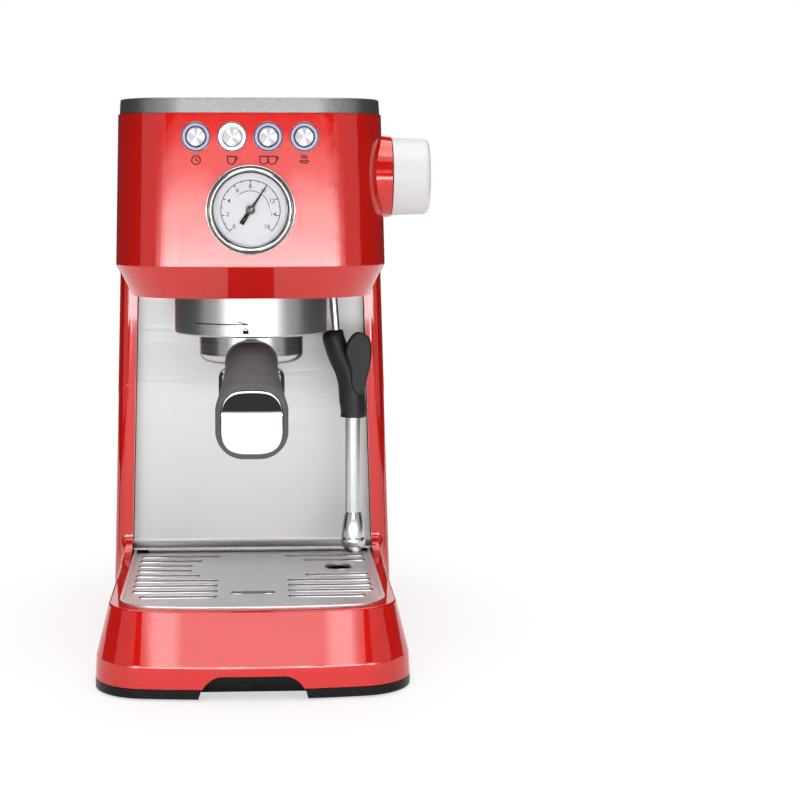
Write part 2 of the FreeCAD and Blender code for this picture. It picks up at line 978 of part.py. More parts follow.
def cup_plate():
    low = cover_low + cover_floor
    plate = face_prism(cover_plan(cover_rim + seat_gap, low), cup_plate_thickness)
    rows = int((column_back - head_front - cup_slot_front - cup_slot_back) / cup_slot_pitch)
    half_slot = cup_slot_width / 2
    z0, z1 = low - over, low + cup_plate_thickness + over
    outer = head_half_top - cup_slot_edge
    cutters = []
    for row in range(rows):
        y = head_front + cup_slot_front + row * cup_slot_pitch
        cutters += long_slot(cup_slot_inner, outer, y, half_slot, z0, z1)
        cutters += long_slot(-outer, -cup_slot_inner, y, half_slot, z0, z1)
    return plate.cut(fused(cutters))


# Drip tray drawer

def drip_front():
    """Red front of the drip tray: the fore part of the base, with the finger arch."""
    back = base_seam - slide_gap
    fore = box(-base_half_width, base_half_width, base_front - over, back, 0, deck_z + over)
    shell = base_solid(0, plate_top + slide_gap).common(fore)
    is_front = lambda e: e.BoundBox.YMin < back - over
    shell = rounded(shell, edge_round, lambda e: level_edges(deck_z)(e) and is_front(e))
    shell = rounded(shell, crease_round, lambda e: level_edges(crease_z)(e) and is_front(e))
    shell = shell.cut(base_solid(wall, plate_top - over))
    shell = shell.cut(face_prism(tray_plan(0, crease_z), deck_z))
    return shell.cut(arch_prism()).removeSplitter()


def arch_prism():
    """Cutter for the finger arch: a flat crown between two rounded shoulders."""
    z0, z1 = plate_top - over, plate_top + arch_height
    y0 = base_front - over
    left, right = Vector(-arch_half, y0, z0), Vector(arch_half, y0, z0)
    left_top, right_top = Vector(-arch_flat, y0, z1), Vector(arch_flat, y0, z1)
    side, rise = 0.36 * (arch_half - arch_flat), 0.62 * (z1 - z0)
    edges = [
        Part.LineSegment(left, right).toShape(),
        Part.Arc(right, right + Vector(-side, 0, rise), right_top).toShape(),
        Part.LineSegment(right_top, left_top).toShape(),
        Part.Arc(left_top, left + Vector(side, 0, rise), left).toShape(),
    ]
    return prism(edges, Vector(0, over + 2 * wall, 0))


def drip_tray():
    """Black basin with a flange that carries the grid."""
    flange_z = grid_low - slide_gap
    inner_gap = tray_flange + tray_wall
    floor = tray_floor_z + tray_wall
    outer = face_prism(tray_plan(tray_flange, tray_floor_z), flange_z - tray_floor_z)
    inner = face_prism(tray_plan(inner_gap, floor), deck_z - floor)
    half = tray_half_width
    inner = inner.cut(box(-half, half, tray_back - tray_wall, tray_back + over, 0, deck_z + over))
    low = flange_z - flange_thickness
    flange = face_prism(tray_plan(-tray_flange, low), flange_thickness)
    flange = flange.cut(face_prism(tray_plan(inner_gap, low - over), flange_thickness + 2 * over))
    guide_radius = float_hole_radius - float_guide_gap
    guide = ring(guide_radius, guide_radius - float_guide_wall, at_float(tray_floor_z + tray_wall / 2),
                 at_float(tray_floor_z + float_guide_height))
    return outer.cut(inner).fuse(flange).fuse(guide).removeSplitter()


def at_float(z):
    return (float_x, float_y, z)


def slot_cutters(z0, z1):
    """Rows of slots that stop short of where the cup stands, the float's hole and the finger slot."""
    rows = int((tray_back - slot_from_back - slot_front) / slot_pitch) + 1
    cup_y = slot_front + cup_row * slot_pitch
    half = slot_width / 2
    cutters = [rod(float_hole_radius, at_float(z0), at_float(z1))]
    for row in range(rows):
        y = slot_front + row * slot_pitch
        away = abs(y - cup_y)
        clear = sqrt(cup_clear_radius ** 2 - away ** 2) if away < cup_clear_radius else 0
        inner = max(slot_inner, clear) + half
        outer = tray_half_width - half - (slot_edge_front if row == 0 else slot_edge)
        cutters += long_slot(-outer, -inner, y, half, z0, z1)
        if abs(y - float_y) > float_hole_radius + half + over:
            cutters += long_slot(inner, outer, y, half, z0, z1)
    finger_y = slot_front + finger_slot_set
    cutters += long_slot(-finger_slot_half, finger_slot_half, finger_y, finger_slot_radius, z0, z1)
    return fused(cutters)


def drip_grid():
    """Slotted plate with a raised rim."""
    top = grid_low + grid_thickness
    plate = face_prism(tray_plan(slide_gap, grid_low), grid_thickness + grid_lip)
    plate = plate.cut(face_prism(tray_plan(slide_gap + grid_rim, top), grid_lip + over))
    return plate.cut(slot_cutters(grid_low - over, top + over)).removeSplitter()


def tray_float():
    top = deck_z - float_drop
    radius = float_hole_radius - float_guide_gap - float_guide_wall - slide_gap
    body = rod(radius, at_float(tray_floor_z + tray_wall + seat_gap), at_float(top))
    return rounded(body, float_round, level_edges(top))


# Brew group

def at_group(z):
    return (0, group_y, z)


def sector(inner, outer, middle, width, z0, z1):
    """Part of a ring round the group's axis, centred on one angle from +X."""
    pie = Part.makeCylinder(outer, z1 - z0, Vector(*at_group(z0)), Vector(0, 0, 1), width)
    pie.rotate(Vector(*at_group(0)), Vector(0, 0, 1), middle - width / 2)
    return pie.cut(rod(inner, at_group(z0 - over), at_group(z1 + over)))


def group_collar():
    collar = rod(collar_radius, at_group(collar_bottom), at_group(head_underside))
    collar = rounded(collar, collar_round, level_edges(collar_bottom))
    collar = collar.cut(rod(collar_bore, at_group(flange_top), at_group(head_underside + over)))
    collar = collar.cut(rod(lug_bore, at_group(collar_bottom - over), at_group(head_underside)))
    for side in (0, 180):
        entry = sector(lug_bore - over, lug_reach + seat_gap, side - open_angle, slot_angle,
                       collar_bottom - over, flange_top + over)
        collar = collar.cut(entry)
    return collar


def group_body():
    body = rod(group_radius, at_group(group_bottom), at_group(group_top))
    body = body.fuse(rod(group_flange_radius, at_group(group_shelf), at_group(group_shelf + group_flange)))
    body = body.cut(ring(gasket_outer + pin_gap, gasket_inner - pin_gap, at_group(group_bottom - over),
                         at_group(gasket_bottom + gasket_height)))
    low = at_group(group_bottom - over)
    body = body.cut(rod(screw_radius + pin_gap, low, at_group(group_bottom + screw_reach)))
    way_y = group_y + water_offset
    way = rod(pipe_radius, (0, way_y, group_bottom - over), (0, way_y, group_top + over))
    return body.cut(way).removeSplitter()


def group_gasket():
    return ring(gasket_outer, gasket_inner, at_group(gasket_bottom), at_group(gasket_bottom + gasket_height))


def shower_screen():
    z0, z1 = screen_low - over, screen_low + screen_thickness + over
    screen = rod(screen_radius, at_group(screen_low), at_group(screen_low + screen_thickness))
    screen = screen.cut(rod(screw_radius + pin_gap, at_group(z0), at_group(z1)))
    return screen.cut(hole_rings(screen_hole, screen_circles, screen_counts, z0, z1))


def hole_rings(radius, circles, counts, z0, z1):
    """Rings of small round holes about the group's axis."""
    holes = []
    for circle, count in zip(circles, counts):
        for i in range(count):
            turn = 2 * pi * i / count
            x, y = circle * cos(turn), group_y + circle * sin(turn)
            holes.append(rod(radius, (x, y, z0), (x, y, z1)))
    return Part.makeCompound(holes)


# Portafilter

def portafilter_bowl():
    inside = bowl_bottom + bowl_floor
    bowl = rod(bowl_radius, at_group(bowl_bottom), at_group(bowl_top))
    bowl = rounded(bowl, bowl_round, level_edges(bowl_bottom))
    for side in (0, 180):
        lug = sector(bowl_radius - over, lug_reach, side, lug_angle, lug_bottom, lug_bottom + lug_height)
        bowl = bowl.fuse(lug)
    bowl = bowl.cut(rod(bowl_bore, at_group(inside), at_group(bowl_top + over)))
    groove_z = bowl_top - spring_drop
    bowl = bowl.cut(ring(bowl_bore + spring_groove, bowl_bore - over, at_group(groove_z - spring_groove_half),
                         at_group(groove_z + spring_groove_half)))
    bowl = bowl.cut(rod(spout_stud + pin_gap, at_group(bowl_bottom - over), at_group(inside + over)))
    socket = rod(neck_pin + pin_gap, at_neck(bowl_bore - over), at_neck(bowl_radius + over))
    return bowl.cut(socket).removeSplitter()


def at_neck(forward):
    """Point level with the neck, forward of the group's axis."""
    return (0, group_y - forward, neck_z)


def filter_basket():
    outer = bowl_bore - seat_gap
    inner = outer - basket_wall
    rim = bowl_radius - skin_gap
    low = bowl_bottom + bowl_floor + basket_lift
    floor = low + basket_wall
    profile = [(0, low), (outer, low), (outer, bowl_top), (rim, bowl_top),
               (rim, basket_top), (inner, basket_top), (inner, floor), (0, floor)]
    basket = turned(profile, at_group(0))
    return basket.cut(hole_rings(basket_hole, basket_circles, basket_counts, low - over, floor + over))


def basket_spring():
    """Open wire ring that grips the basket."""
    wire = spring_wire / 2
    centre = Vector(*at_group(bowl_top - spring_drop))
    across = bowl_bore + wire - spring_preload
    return Part.makeTorus(across, wire, centre, Vector(0, 0, 1), -180, 180, spring_angle)


def portafilter_spout():
    """Hub and cross arm with two round-shouldered outlets."""
    inside = bowl_bottom + bowl_floor
    tip_z = spout_end_z + spout_tip
    left, right = (-spout_spread, group_y, spout_z), (spout_spread, group_y, spout_z)
    solids = [rod(spout_radius, left, right),
              rod(spout_radius + spout_hub, at_group(spout_z), at_group(bowl_bottom - seat_gap)),
              rod(spout_stud, at_group(spout_z), at_group(inside - seat_gap))]
    bores = [rod(spout_bore, left, right), rod(spout_bore - over, at_group(spout_z), at_group(inside))]
    for x in (-spout_spread, spout_spread):
        end, tip, turn = (x, group_y, spout_end_z), (x, group_y, tip_z), (x, group_y, spout_z)
        solids.append(Part.makeSphere(spout_radius, Vector(*turn)))
        solids.append(rod(spout_radius, tip, turn))
        solids.append(cone(spout_radius - spout_tip_taper, spout_radius, end, tip))
        bores.append(rod(spout_bore, (x, group_y, spout_end_z - over), turn))
    return fused(solids).cut(fused(bores))


def handle_z(y):
    """Height of the handle's middle line."""
    return handle_start_z + (y - handle_start_y) * handle_lean


def on_handle(y):
    return (0, y, handle_z(y))


def squircle(width, height, y, z, corner):
    """Rounded rectangle that faces the operator."""
    ends = []
    for sx, sz in [(1, 1), (-1, 1), (-1, -1), (1, -1)]:
        centre = Vector(sx * (width / 2 - corner), y, z + sz * (height / 2 - corner))
        side, top = centre + Vector(sx * corner, 0, 0), centre + Vector(0, 0, sz * corner)
        middle = centre + Vector(sx, 0, sz).normalize() * corner
        first, last = (side, top) if sx * sz > 0 else (top, side)
        ends.append((first, middle, last))
    edges = []
    for i, (first, middle, last) in enumerate(ends):
        edges.append(Part.Arc(first, middle, last).toShape())
        edges.append(Part.LineSegment(last, ends[(i + 1) % len(ends)][0]).toShape())
    return Part.Wire(edges)


def neck_arm(gap):
    """Arm from the bowl to just inside the grip, and its stud far into the grip, grown by a gap."""
    start = at_neck(bowl_radius)
    shoulder = on_handle(handle_start_y - neck_lap)
    end = on_handle(handle_start_y - neck_depth)
    return fused([rod(neck_radius + gap, start, shoulder), rod(neck_stud + gap, shoulder, end)])


def grip_back_rim():
    """Dark rim behind the grip, a little larger than the grip's back end."""
    y = handle_start_y + skin_gap
    width, height = handle_width * handle_slim + 2 * neck_rim, handle_height * handle_slim + 2 * neck_rim
    wire = squircle(width, height, y, handle_z(handle_start_y), handle_corner * handle_slim + neck_rim)
    rim = Part.Face(wire).extrude(Vector(0, neck_rim_depth, 0))
    return rounded(rim, neck_rim_round, lambda e: e.BoundBox.YMin > y + neck_rim_depth - edge_near)


def portafilter_neck():
    room = rod(bowl_radius + seat_gap, at_group(spout_end_z), at_group(bowl_top))
    pin = rod(neck_pin, at_neck(bowl_bore + neck_pin_gap), at_neck(bowl_radius + neck_pin_lap))
    return fused([neck_arm(0).cut(room), pin, grip_back_rim()])


def portafilter_handle():
    """Grip that swells towards its end, with a pocket for the end plate."""
    sections = []
    for step in range(handle_steps + 1):
        along = step / handle_steps
        y = handle_start_y - handle_length * along
        size = handle_slim + (1 - handle_slim) * along ** handle_swell
        width, height, corner = handle_width * size, handle_height * size, handle_corner * size
        sections.append(squircle(width, height, y, handle_z(y), corner))
    grip = Part.makeLoft(sections, True, False)
    grip = rounded(grip, handle_round, lambda e: e.BoundBox.YMax < handle_end_y + edge_near)
    grip = rounded(grip, handle_back_round, lambda e: e.BoundBox.YMin > handle_start_y - edge_near)
    grip = grip.cut(neck_arm(pin_gap))
    width, height = badge_width + 2 * seat_gap, badge_height + 2 * seat_gap
    pocket = squircle(width, height, handle_end_y - over, handle_end_z, badge_corner)
    return grip.cut(Part.Face(pocket).extrude(Vector(0, badge_depth + over, 0)))


def handle_end_plate():
    front = handle_end_y - badge_proud
    wire = squircle(badge_width, badge_height, front, handle_end_z, badge_corner)
    plate = Part.Face(wire).extrude(Vector(0, badge_depth + badge_proud - skin_gap, 0))
    return rounded(plate, badge_round, lambda e: e.BoundBox.YMax < front + edge_near)


# Pressure gauge

def at_gauge(forward):
    """Point on the gauge's axis, measured forward from the bezel's back."""
    return (0, head_front - seat_gap - forward, gauge_z)


def gauge_bezel():
    """Stepped bright ring that holds the lens."""
    rim, lip, well = bezel_radius, bezel_bore, dial_radius - lens_room
    profile = [(rim, 0), (rim, bezel_wall_height), (rim - bezel_step, bezel_step_height),
               (rim - bezel_shelf, bezel_shelf_height), (rim - bezel_crown, bezel_depth),
               (lip + bezel_lip, bezel_depth), (lip, bezel_depth - bezel_lip),
               (lip, bezel_step_height), (well, bezel_step_height), (well, 0)]
    return turned(profile, at_gauge(0), Vector(0, -1, 0))


def gauge_case():
    floor = case_floor - case_depth
    case = rod(case_radius, at_gauge(-seat_gap), at_gauge(-case_depth))
    case = case.cut(rod(dial_radius, at_gauge(over), at_gauge(floor)))
    stub = rod(case_stub_radius, at_gauge(floor - case_floor / 2), at_gauge(-case_depth - case_stub_length))
    boss = rod(case_boss_radius, at_gauge(-case_boss_drop), at_gauge(floor - case_floor / 2))
    bore = rod(spindle_radius + pin_gap, at_gauge(0), at_gauge(-spindle_depth - spindle_room))
    return case.fuse(stub).fuse(boss).cut(bore).removeSplitter()


def gauge_dial():
    back = -dial_set - dial_thickness
    dial = rod(dial_radius - seat_gap, at_gauge(back), at_gauge(-dial_set))
    return dial.cut(rod(spindle_radius + dial_eye, at_gauge(back - over), at_gauge(over)))


def gauge_needle():
    """Tapered pointer, its spindle and its hub, set to the reading in the photo."""
    y = at_gauge(needle_lift)[1]
    half_outline = [(needle_half_tip, needle_length), (needle_half_hub, 0), (needle_half_tail, -needle_tail)]
    right = [Vector(x, y, z) for x, z in half_outline]
    left = [Vector(-x, y, z) for x, z in reversed(half_outline)]
    pointer = prism(right + left, Vector(0, -needle_thickness, 0))
    pointer.rotate(Vector(), Vector(0, 1, 0), needle_angle)
    pointer.translate(Vector(0, 0, gauge_z))
    spindle = rod(spindle_radius, at_gauge(-spindle_depth), at_gauge(needle_lift + needle_thickness))
    hub = rod(hub_radius, at_gauge(needle_lift), at_gauge(needle_lift + hub_height))
    return fused([pointer, spindle, hub])


def gauge_lens():
    front = bezel_step_height - skin_gap
    return rod(dial_radius - lens_room - skin_gap, at_gauge(front - lens_thickness), at_gauge(front))


# Buttons

def button_bezels():
    """Thin bright rims, their backs shaped to the bowed front."""
    reach = button_bezel_radius + over
    bow_y = head_front + front_bow
    bow = rod(front_bow + skin_gap, (0, bow_y, button_z - reach), (0, bow_y, button_z + reach))
    rims = []
    for x in button_places():
        y = front_surface(x)
        front = y - ring_proud - button_bezel_proud
        rim = ring(button_bezel_radius, ring_outer + pin_gap, (x, front, button_z), (x, y + over, button_z))
        rims.append(rim.cut(bow))
    return Part.makeCompound(rims)


def ring_row():
    """Light rings from the face down to the button board."""
    back = head_front + board_depth - seat_gap
    return [ring(ring_outer, ring_inner, (x, front_surface(x) - ring_proud, button_z), (x, back, button_z))
            for x in button_places()]


def light_rings():
    return Part.makeCompound([shape for i, shape in enumerate(ring_row()) if i != lit_button])


def light_ring_lit():
    return ring_row()[lit_button]


def button_cap(index):
    x = button_places()[index]
    y = front_surface(x)
    front = y - cap_proud
    stem_end = head_front + board_depth - switch_reach - button_travel - stem_gap
    cap = rod(button_cap_radius, (x, front, button_z), (x, y + button_cap_depth, button_z))
    cap = rounded(cap, button_round, lambda e: e.BoundBox.YMax < front + edge_near)
    return fused([cap, rod(button_stem, (x, y, button_z), (x, stem_end, button_z))])


def button_board():
    face = head_front + board_depth
    half = button_pitch * button_count / 2 + board_edge
    low, high = button_z - board_half_height, button_z + board_half_height
    solids = [box(-half, half, face, face + board_thickness, low, high)]
    switch_face = face - switch_reach + switch_stem_length
    for x in button_places():
        solids.append(box(x - switch_half, x + switch_half, switch_face, face + board_thickness / 2,
                          button_z - switch_half, button_z + switch_half))
        solids.append(rod(switch_stem, (x, face - switch_reach, button_z), (x, face, button_z)))
    return fused(solids)


# Steam side

def at_knob(x):
    return (x, knob_y, knob_z)


def steam_knob():
    knob = cone(knob_radius, knob_radius - knob_taper, at_knob(knob_inner_x), at_knob(knob_outer_x))
    knob = rounded(knob, knob_round, lambda e: e.BoundBox.XMin > knob_outer_x - edge_near)
    bore_end = at_knob(knob_outer_x - knob_face)
    return knob.cut(rod(shaft_radius + pin_gap, at_knob(knob_inner_x - over), bore_end))


def knob_shaft():
    shoulder = shaft_tip_x + shaft_cone
    tip = cone(shaft_tip_radius, shaft_radius, at_knob(shaft_tip_x), at_knob(shoulder))
    end = knob_outer_x - knob_face - shaft_end_gap
    return fused([tip, rod(shaft_radius, at_knob(shoulder), at_knob(end))])


def valve_port(drop):
    """Point below the valve's port by a drop from its middle."""
    return (valve_port_x, knob_y, knob_z - drop)


def steam_valve():
    face = boss_face_x - head_wall - seat_gap
    body = rod(valve_radius, at_knob(valve_end_x), at_knob(face))
    body = body.fuse(rod(valve_radius + valve_flange, at_knob(face - valve_flange_thickness), at_knob(face)))
    body = body.fuse(rod(valve_port_radius, valve_port(0), valve_port(valve_radius + valve_port_length)))
    body = body.cut(rod(shaft_radius + pin_gap, at_knob(shaft_tip_x - over), at_knob(face + over)))
    return body.cut(rod(valve_bore, at_knob(valve_end_x - over), at_knob(shaft_tip_x))).removeSplitter()


def heater_port(index):
    """Plan position of one of the heater's ports."""
    from_right, from_frame = heater_port_places[index]
    return heater_right - from_right, frame_back + from_frame


def steam_pipes():
    """One pipe from the heater to the valve and one from the valve to the wand's socket."""
    start = valve_port(valve_radius + valve_port_length + seat_gap)
    turn_z = ball_z + steam_pipe_rise
    wand = pipe([start, (valve_port_x, knob_y, turn_z), (ball_x, wand_y, turn_z),
                 (ball_x, wand_y, socket_top + seat_gap)], pipe_radius, steam_pipe_bend)
    x, y = heater_port(1)
    feed = pipe([(x, y, port_top), (x, y, knob_z), (x, knob_y, knob_z), at_knob(valve_end_x - seat_gap)],
                pipe_radius, pipe_bend)
    return Part.makeCompound([wand, feed])


def at_ball(z):
    return (ball_x, wand_y, z)


def along_tube(distance):
    """Point down the leaning tube from the ball's middle."""
    lean = radians(tube_lean)
    return Vector(*at_ball(ball_z)) + Vector(sin(lean), 0, -cos(lean)) * distance


def wand_socket():
    low = ball_z - socket_drop
    nut = rod(socket_radius, at_ball(low), at_ball(head_underside - skin_gap))
    barrel = rod(socket_radius - socket_step - seat_gap, at_ball(low), at_ball(socket_top))
    socket = fused([nut, barrel]).cut(Part.makeSphere(ball_radius + pin_gap, Vector(*at_ball(ball_z))))
    socket = socket.cut(cone(pin_gap, socket_mouth, at_ball(ball_z), at_ball(low - over)))
    return socket.cut(rod(valve_bore, at_ball(ball_z), at_ball(socket_top + over)))


def wand_ball():
    ball = Part.makeSphere(ball_radius, Vector(*at_ball(ball_z)))
    start, end = along_tube(-tube_socket / 2), along_tube(ball_radius + tube_socket)
    ball = ball.cut(rod(steam_tube_radius + pin_gap, start, end))
    return ball.cut(rod(valve_bore, along_tube(-ball_radius - over), along_tube(0)))


def wand_tube():
    inner = steam_tube_radius - steam_tube_wall
    return ring(steam_tube_radius, inner, along_tube(0), along_tube(tube_length))


def circle_section(point, radius, lean):
    """Circle across a line that leans towards +X by an angle as it runs down."""
    wire = Part.Wire(Part.makeCircle(radius))
    wire.rotate(Vector(), Vector(0, 1, 0), -lean)
    wire.translate(point)
    return wire


# Down the wand's grip: share of its drop, share of its sidestep, share of its full radius and lean
grip_stations = [
    (0.0, -0.05, 0.52, 4.5), (0.03, -0.1, 0.74, 2.0), (0.09, -0.12, 0.86, 2.0), (0.16, -0.02, 0.87, 9.0),
    (0.24, 0.12, 0.88, 15.0), (0.34, 0.33, 0.9, 22.0), (0.43, 0.55, 0.91, 22.0), (0.52, 0.73, 0.94, 17.0),
    (0.6, 0.84, 0.97, 11.0), (0.7, 0.91, 1.0, 6.0), (0.82, 0.96, 1.01, 3.0), (1.0, 1.0, 1.0, 0.0),
]
# Round the thumb tab, from its top: shares of half its width and half its height
tab_outline = [
    (0.06, 1.0), (0.76, 0.86), (1.0, 0.15), (0.6, -0.62), (0.07, -1.0), (-0.33, -0.89), (-0.64, -0.17),
    (-1.0, 0.43), (-0.58, 0.85),
]


def thumb_tab():
    """Leaf-shaped plate before the grip."""
    back = wand_y - tab_forward + tab_thickness / 2
    points = [Vector(tab_x + u * tab_width / 2, back, tab_z + v * tab_height / 2) for u, v in tab_outline]
    curve = Part.BSplineCurve()
    curve.interpolate(points, PeriodicFlag=True)
    tab = Part.Face(Part.Wire(curve.toShape())).extrude(Vector(0, -tab_thickness, 0))
    return rounded(tab, tab_round, lambda e: e.Length > tab_height)


def wand_grip():
    """Black sleeve that bends from the thin tube to the nozzle, with a thumb tab."""
    start = along_tube(grip_start)
    sections = []
    for down, across, size, lean in grip_stations:
        x = start.x + (wand_x - start.x) * across
        z = start.z + (grip_bottom_z - start.z) * down
        sections.append(circle_section(Vector(x, wand_y, z), grip_radius * size, lean))
    grip = Part.makeLoft(sections, True, False).fuse(thumb_tab())
    tube_start, tube_end = along_tube(grip_start - grip_lap), along_tube(tube_length + seat_gap)
    grip = grip.cut(rod(steam_tube_radius + pin_gap, tube_start, tube_end))
    sleeve_low, sleeve_top = at_wand(grip_bottom_z - over), at_wand(grip_bottom_z + nozzle_depth)
    grip = grip.cut(rod(nozzle_radius + pin_gap, sleeve_low, sleeve_top))
    return grip.cut(rod(nozzle_bore, along_tube(tube_length), sleeve_top))


def at_wand(z):
    return (wand_x, wand_y, z)


def wand_nozzle():
    """Straight steel tube that ends in a bulb."""
    top = grip_bottom_z + nozzle_depth - seat_gap

    def point(radius, z):
        return Vector(wand_x + radius, wand_y, z)

    start, side, neck = point(0, top), point(nozzle_radius, top), point(nozzle_radius, bulb_top_z)
    wide, tip, end = point(bulb_radius, bulb_wide_z), point(tip_radius, nozzle_end_z), point(0, nozzle_end_z)
    mean = point((nozzle_radius + bulb_radius) / 2 + nozzle_swell, (bulb_top_z + bulb_wide_z) / 2)
    swell = Part.Arc(neck, mean, wide).toShape()
    cap = Part.Arc(wide, point(tip_side_radius, nozzle_end_z + tip_side_rise), tip).toShape()
    upper, lower = Part.makePolygon([start, side, neck]), Part.makePolygon([tip, end, start])
    edges = upper.Edges + [swell, cap] + lower.Edges
    solid = Part.Face(Part.Wire(edges)).revolve(Vector(wand_x, wand_y, 0), Vector(0, 0, 1), 360)
    return solid.cut(rod(nozzle_bore, at_wand(nozzle_end_z - over), at_wand(top + over)))


# Water tank

def tank_plan(inset, z):
    """Tank outline: flat towards the column, bowed and rounded at the back."""
    half = tank_half_width - inset
    front = -tank_front - inset
    back = inset - tank_back
    wire = plan(half, half, back, front, front, tank_corner - inset, tank_front_corner - inset, z)
    return wire.mirror(Vector(), Vector(0, 1, 0))


def hinge_point(x):
    return (x, tank_front + lid_barrel_radius + hinge_set, tank_top_z + lid_barrel_radius + hinge_rise)


def at_valve(z):
    return (0, valve_y, z)


def water_tank():
    tank = face_prism(tank_plan(0, tank_low), tank_top_z - tank_low)
    tank = tank.cut(face_prism(tank_plan(tank_wall, tank_low + tank_wall), tank_top_z))
    hole_top = at_valve(tank_low + tank_wall + over)
    tank = tank.cut(rod(valve_tail + pin_gap, at_valve(tank_low - over), hole_top))
    x0 = lid_barrel_half + slide_gap
    x1 = x0 + lid_ear_width
    hinge = Vector(*hinge_point(0))
    ear = box(x0, x1, tank_front, hinge.y + lid_barrel_radius, tank_top_z - lid_ear_height, hinge.z)
    ear = ear.fuse(rod(lid_barrel_radius, hinge_point(x0), hinge_point(x1)))
    tank = tank.fuse(both_sides(ear))
    bore = rod(lid_pin_radius + pin_gap, hinge_point(-x1 - over), hinge_point(x1 + over))
    return tank.cut(bore).removeSplitter()


def tank_lid():
    """Lid with its hinge barrel, pins and a finger ridge."""
    low = tank_top_z + seat_gap
    top = low + lid_thickness
    hinge = Vector(*hinge_point(0))
    half = tank_half_width + over
    lid = rounded(face_prism(tank_plan(0, low), lid_thickness), lid_round, level_edges(top))
    lid = lid.cut(box(-half, half, tank_front - over, hinge.y + lid_cut_back, low - over, top + over))
    room_back = hinge.y + lid_barrel_radius + slide_gap + lid_room
    room = box(lid_barrel_half, half, tank_front - over, room_back, low - over, top + over)
    lid = lid.cut(both_sides(room))
    pin_half = lid_barrel_half + lid_ear_width
    barrel = rod(lid_barrel_radius, hinge_point(-lid_barrel_half), hinge_point(lid_barrel_half))
    pins = rod(lid_pin_radius, hinge_point(-pin_half), hinge_point(pin_half))
    grip_front = tank_back - lid_grip_from_back
    grip_back = grip_front + lid_grip_width
    grip_top = top + lid_grip_height
    grip = box(-lid_grip_half, lid_grip_half, grip_front, grip_back, top - over / 2, grip_top)
    return fused([lid, barrel, pins, grip])


def tank_valve():
    floor = tank_low + tank_wall
    low = tank_low - valve_tail_drop
    top = floor + valve_stem_height
    tail = rod(valve_tail, at_valve(low), at_valve(floor + over))
    head = rod(valve_tail + valve_head, at_valve(floor + skin_gap), at_valve(floor + valve_head_height))
    stem = rod(valve_stem_radius, at_valve(floor + over), at_valve(top))
    way = rod(valve_way, at_valve(low - over), at_valve(top + over))
    return fused([tail, head, stem]).cut(way)


def tank_seat():
    seat = rod(seat_radius, at_valve(seat_low), at_valve(deck_z))
    seat = seat.cut(rod(valve_tail + slide_gap, at_valve(seat_low + seat_floor), at_valve(deck_z + over)))
    nipple = rod(nipple_radius, at_valve(seat_low - nipple_length), at_valve(seat_low + over))
    bore = rod(nipple_bore, at_valve(seat_low - nipple_length - over), at_valve(seat_low + seat_floor + over))
    return fused([seat, nipple]).cut(bore)


# Inner works

def inner_frame():
    y0 = panel_back + seat_gap
    half = pillar_inner(frame_top) - frame_edge
    foot = box(-half, half, y0, pump_y + frame_foot, plate_top, plate_top + sheet)
    return fused([foot, box(-half, half, y0, y0 + sheet - seat_gap, plate_top, frame_top)])


def heater_block():
    block = box(heater_right - heater_width, heater_right, frame_back, frame_back + heater_depth,
                heater_top - heater_height, heater_top)
    solids = [rounded(block, heater_round, lambda e: e.BoundBox.ZLength > heater_height - over)]
    for index in range(len(heater_port_places)):
        x, y = heater_port(index)
        solids.append(rod(port_radius, (x, y, heater_top - over), (x, y, heater_top + port_height)))
    return fused(solids)


def at_pump(rise):
    return (pump_x, pump_y, pump_z + rise)


def pump():
    half = pump_coil / 2
    low = pump_z + pump_coil_low
    top = pump_barrel_low + pump_barrel_height
    return fused([
        box(pump_x - half, pump_x + half, pump_y - half, pump_y + half, low, low + pump_coil_height),
        rod(pump_barrel_radius, at_pump(pump_barrel_low), at_pump(top)),
        rod(pump_inlet_radius, at_pump(0), at_pump(pump_barrel_low + over)),
        rod(pump_outlet_radius, at_pump(top - over), at_pump(top + pump_outlet_length)),
    ])


def pump_mounts():
    x0, x1 = pump_x - pump_mount_half, pump_x + pump_mount_half
    y1 = pump_y - pump_coil / 2 - seat_gap
    lows = [pump_z + pump_mount_low, pump_z + pump_mount_high]
    return Part.makeCompound([box(x0, x1, frame_back, y1, low, low + pump_mount_height) for low in lows])


def solenoid_valve():
    half = solenoid_half
    low = group_top + seat_gap
    coil = low + solenoid_height
    tip = coil + solenoid_coil_height
    return fused([
        box(-half, half, group_y - half, group_y + half, low, coil),
        rod(solenoid_coil_radius, at_group(coil - over), at_group(tip)),
        rod(solenoid_tip_radius, at_group(tip - over), at_group(tip + solenoid_tip_height)),
    ])


def water_pipes():
    """Brew pipe from the heater to the group valve, and the thin pipe from there to the gauge."""
    z = group_top + seat_gap + solenoid_port
    reach = solenoid_half + seat_gap
    x, y = heater_port(0)
    brew = pipe([(x, y, port_top), (x, y, z), (x, group_y + reach, z)], pipe_radius, pipe_bend)
    start = at_gauge(-case_depth - case_stub_length - seat_gap)
    bend_y = (start[1] + group_y - solenoid_half) / 2
    thin_route = [start, (0, bend_y, gauge_z), (0, bend_y, z), (0, group_y - reach, z)]
    thin = pipe(thin_route, thin_pipe_radius, thin_pipe_bend)
    return Part.makeCompound([brew, thin])


def suction_hose():
    low = seat_low - nipple_length - seat_gap
    run = low - hose_drop
    route = [at_valve(low), at_valve(run), (pump_x, pump_y, run), at_pump(-seat_gap)]
    return pipe(route, hose_radius, hose_bend)


def pressure_hose():
    x, y = heater_port(2)
    rise = heater_top + port_height + hose_loop
    start = (pump_x, pump_y, pump_top + seat_gap)
    return pipe([start, (pump_x, pump_y, rise), (x, y, rise), (x, y, port_top)], hose_radius, hose_loop_bend)


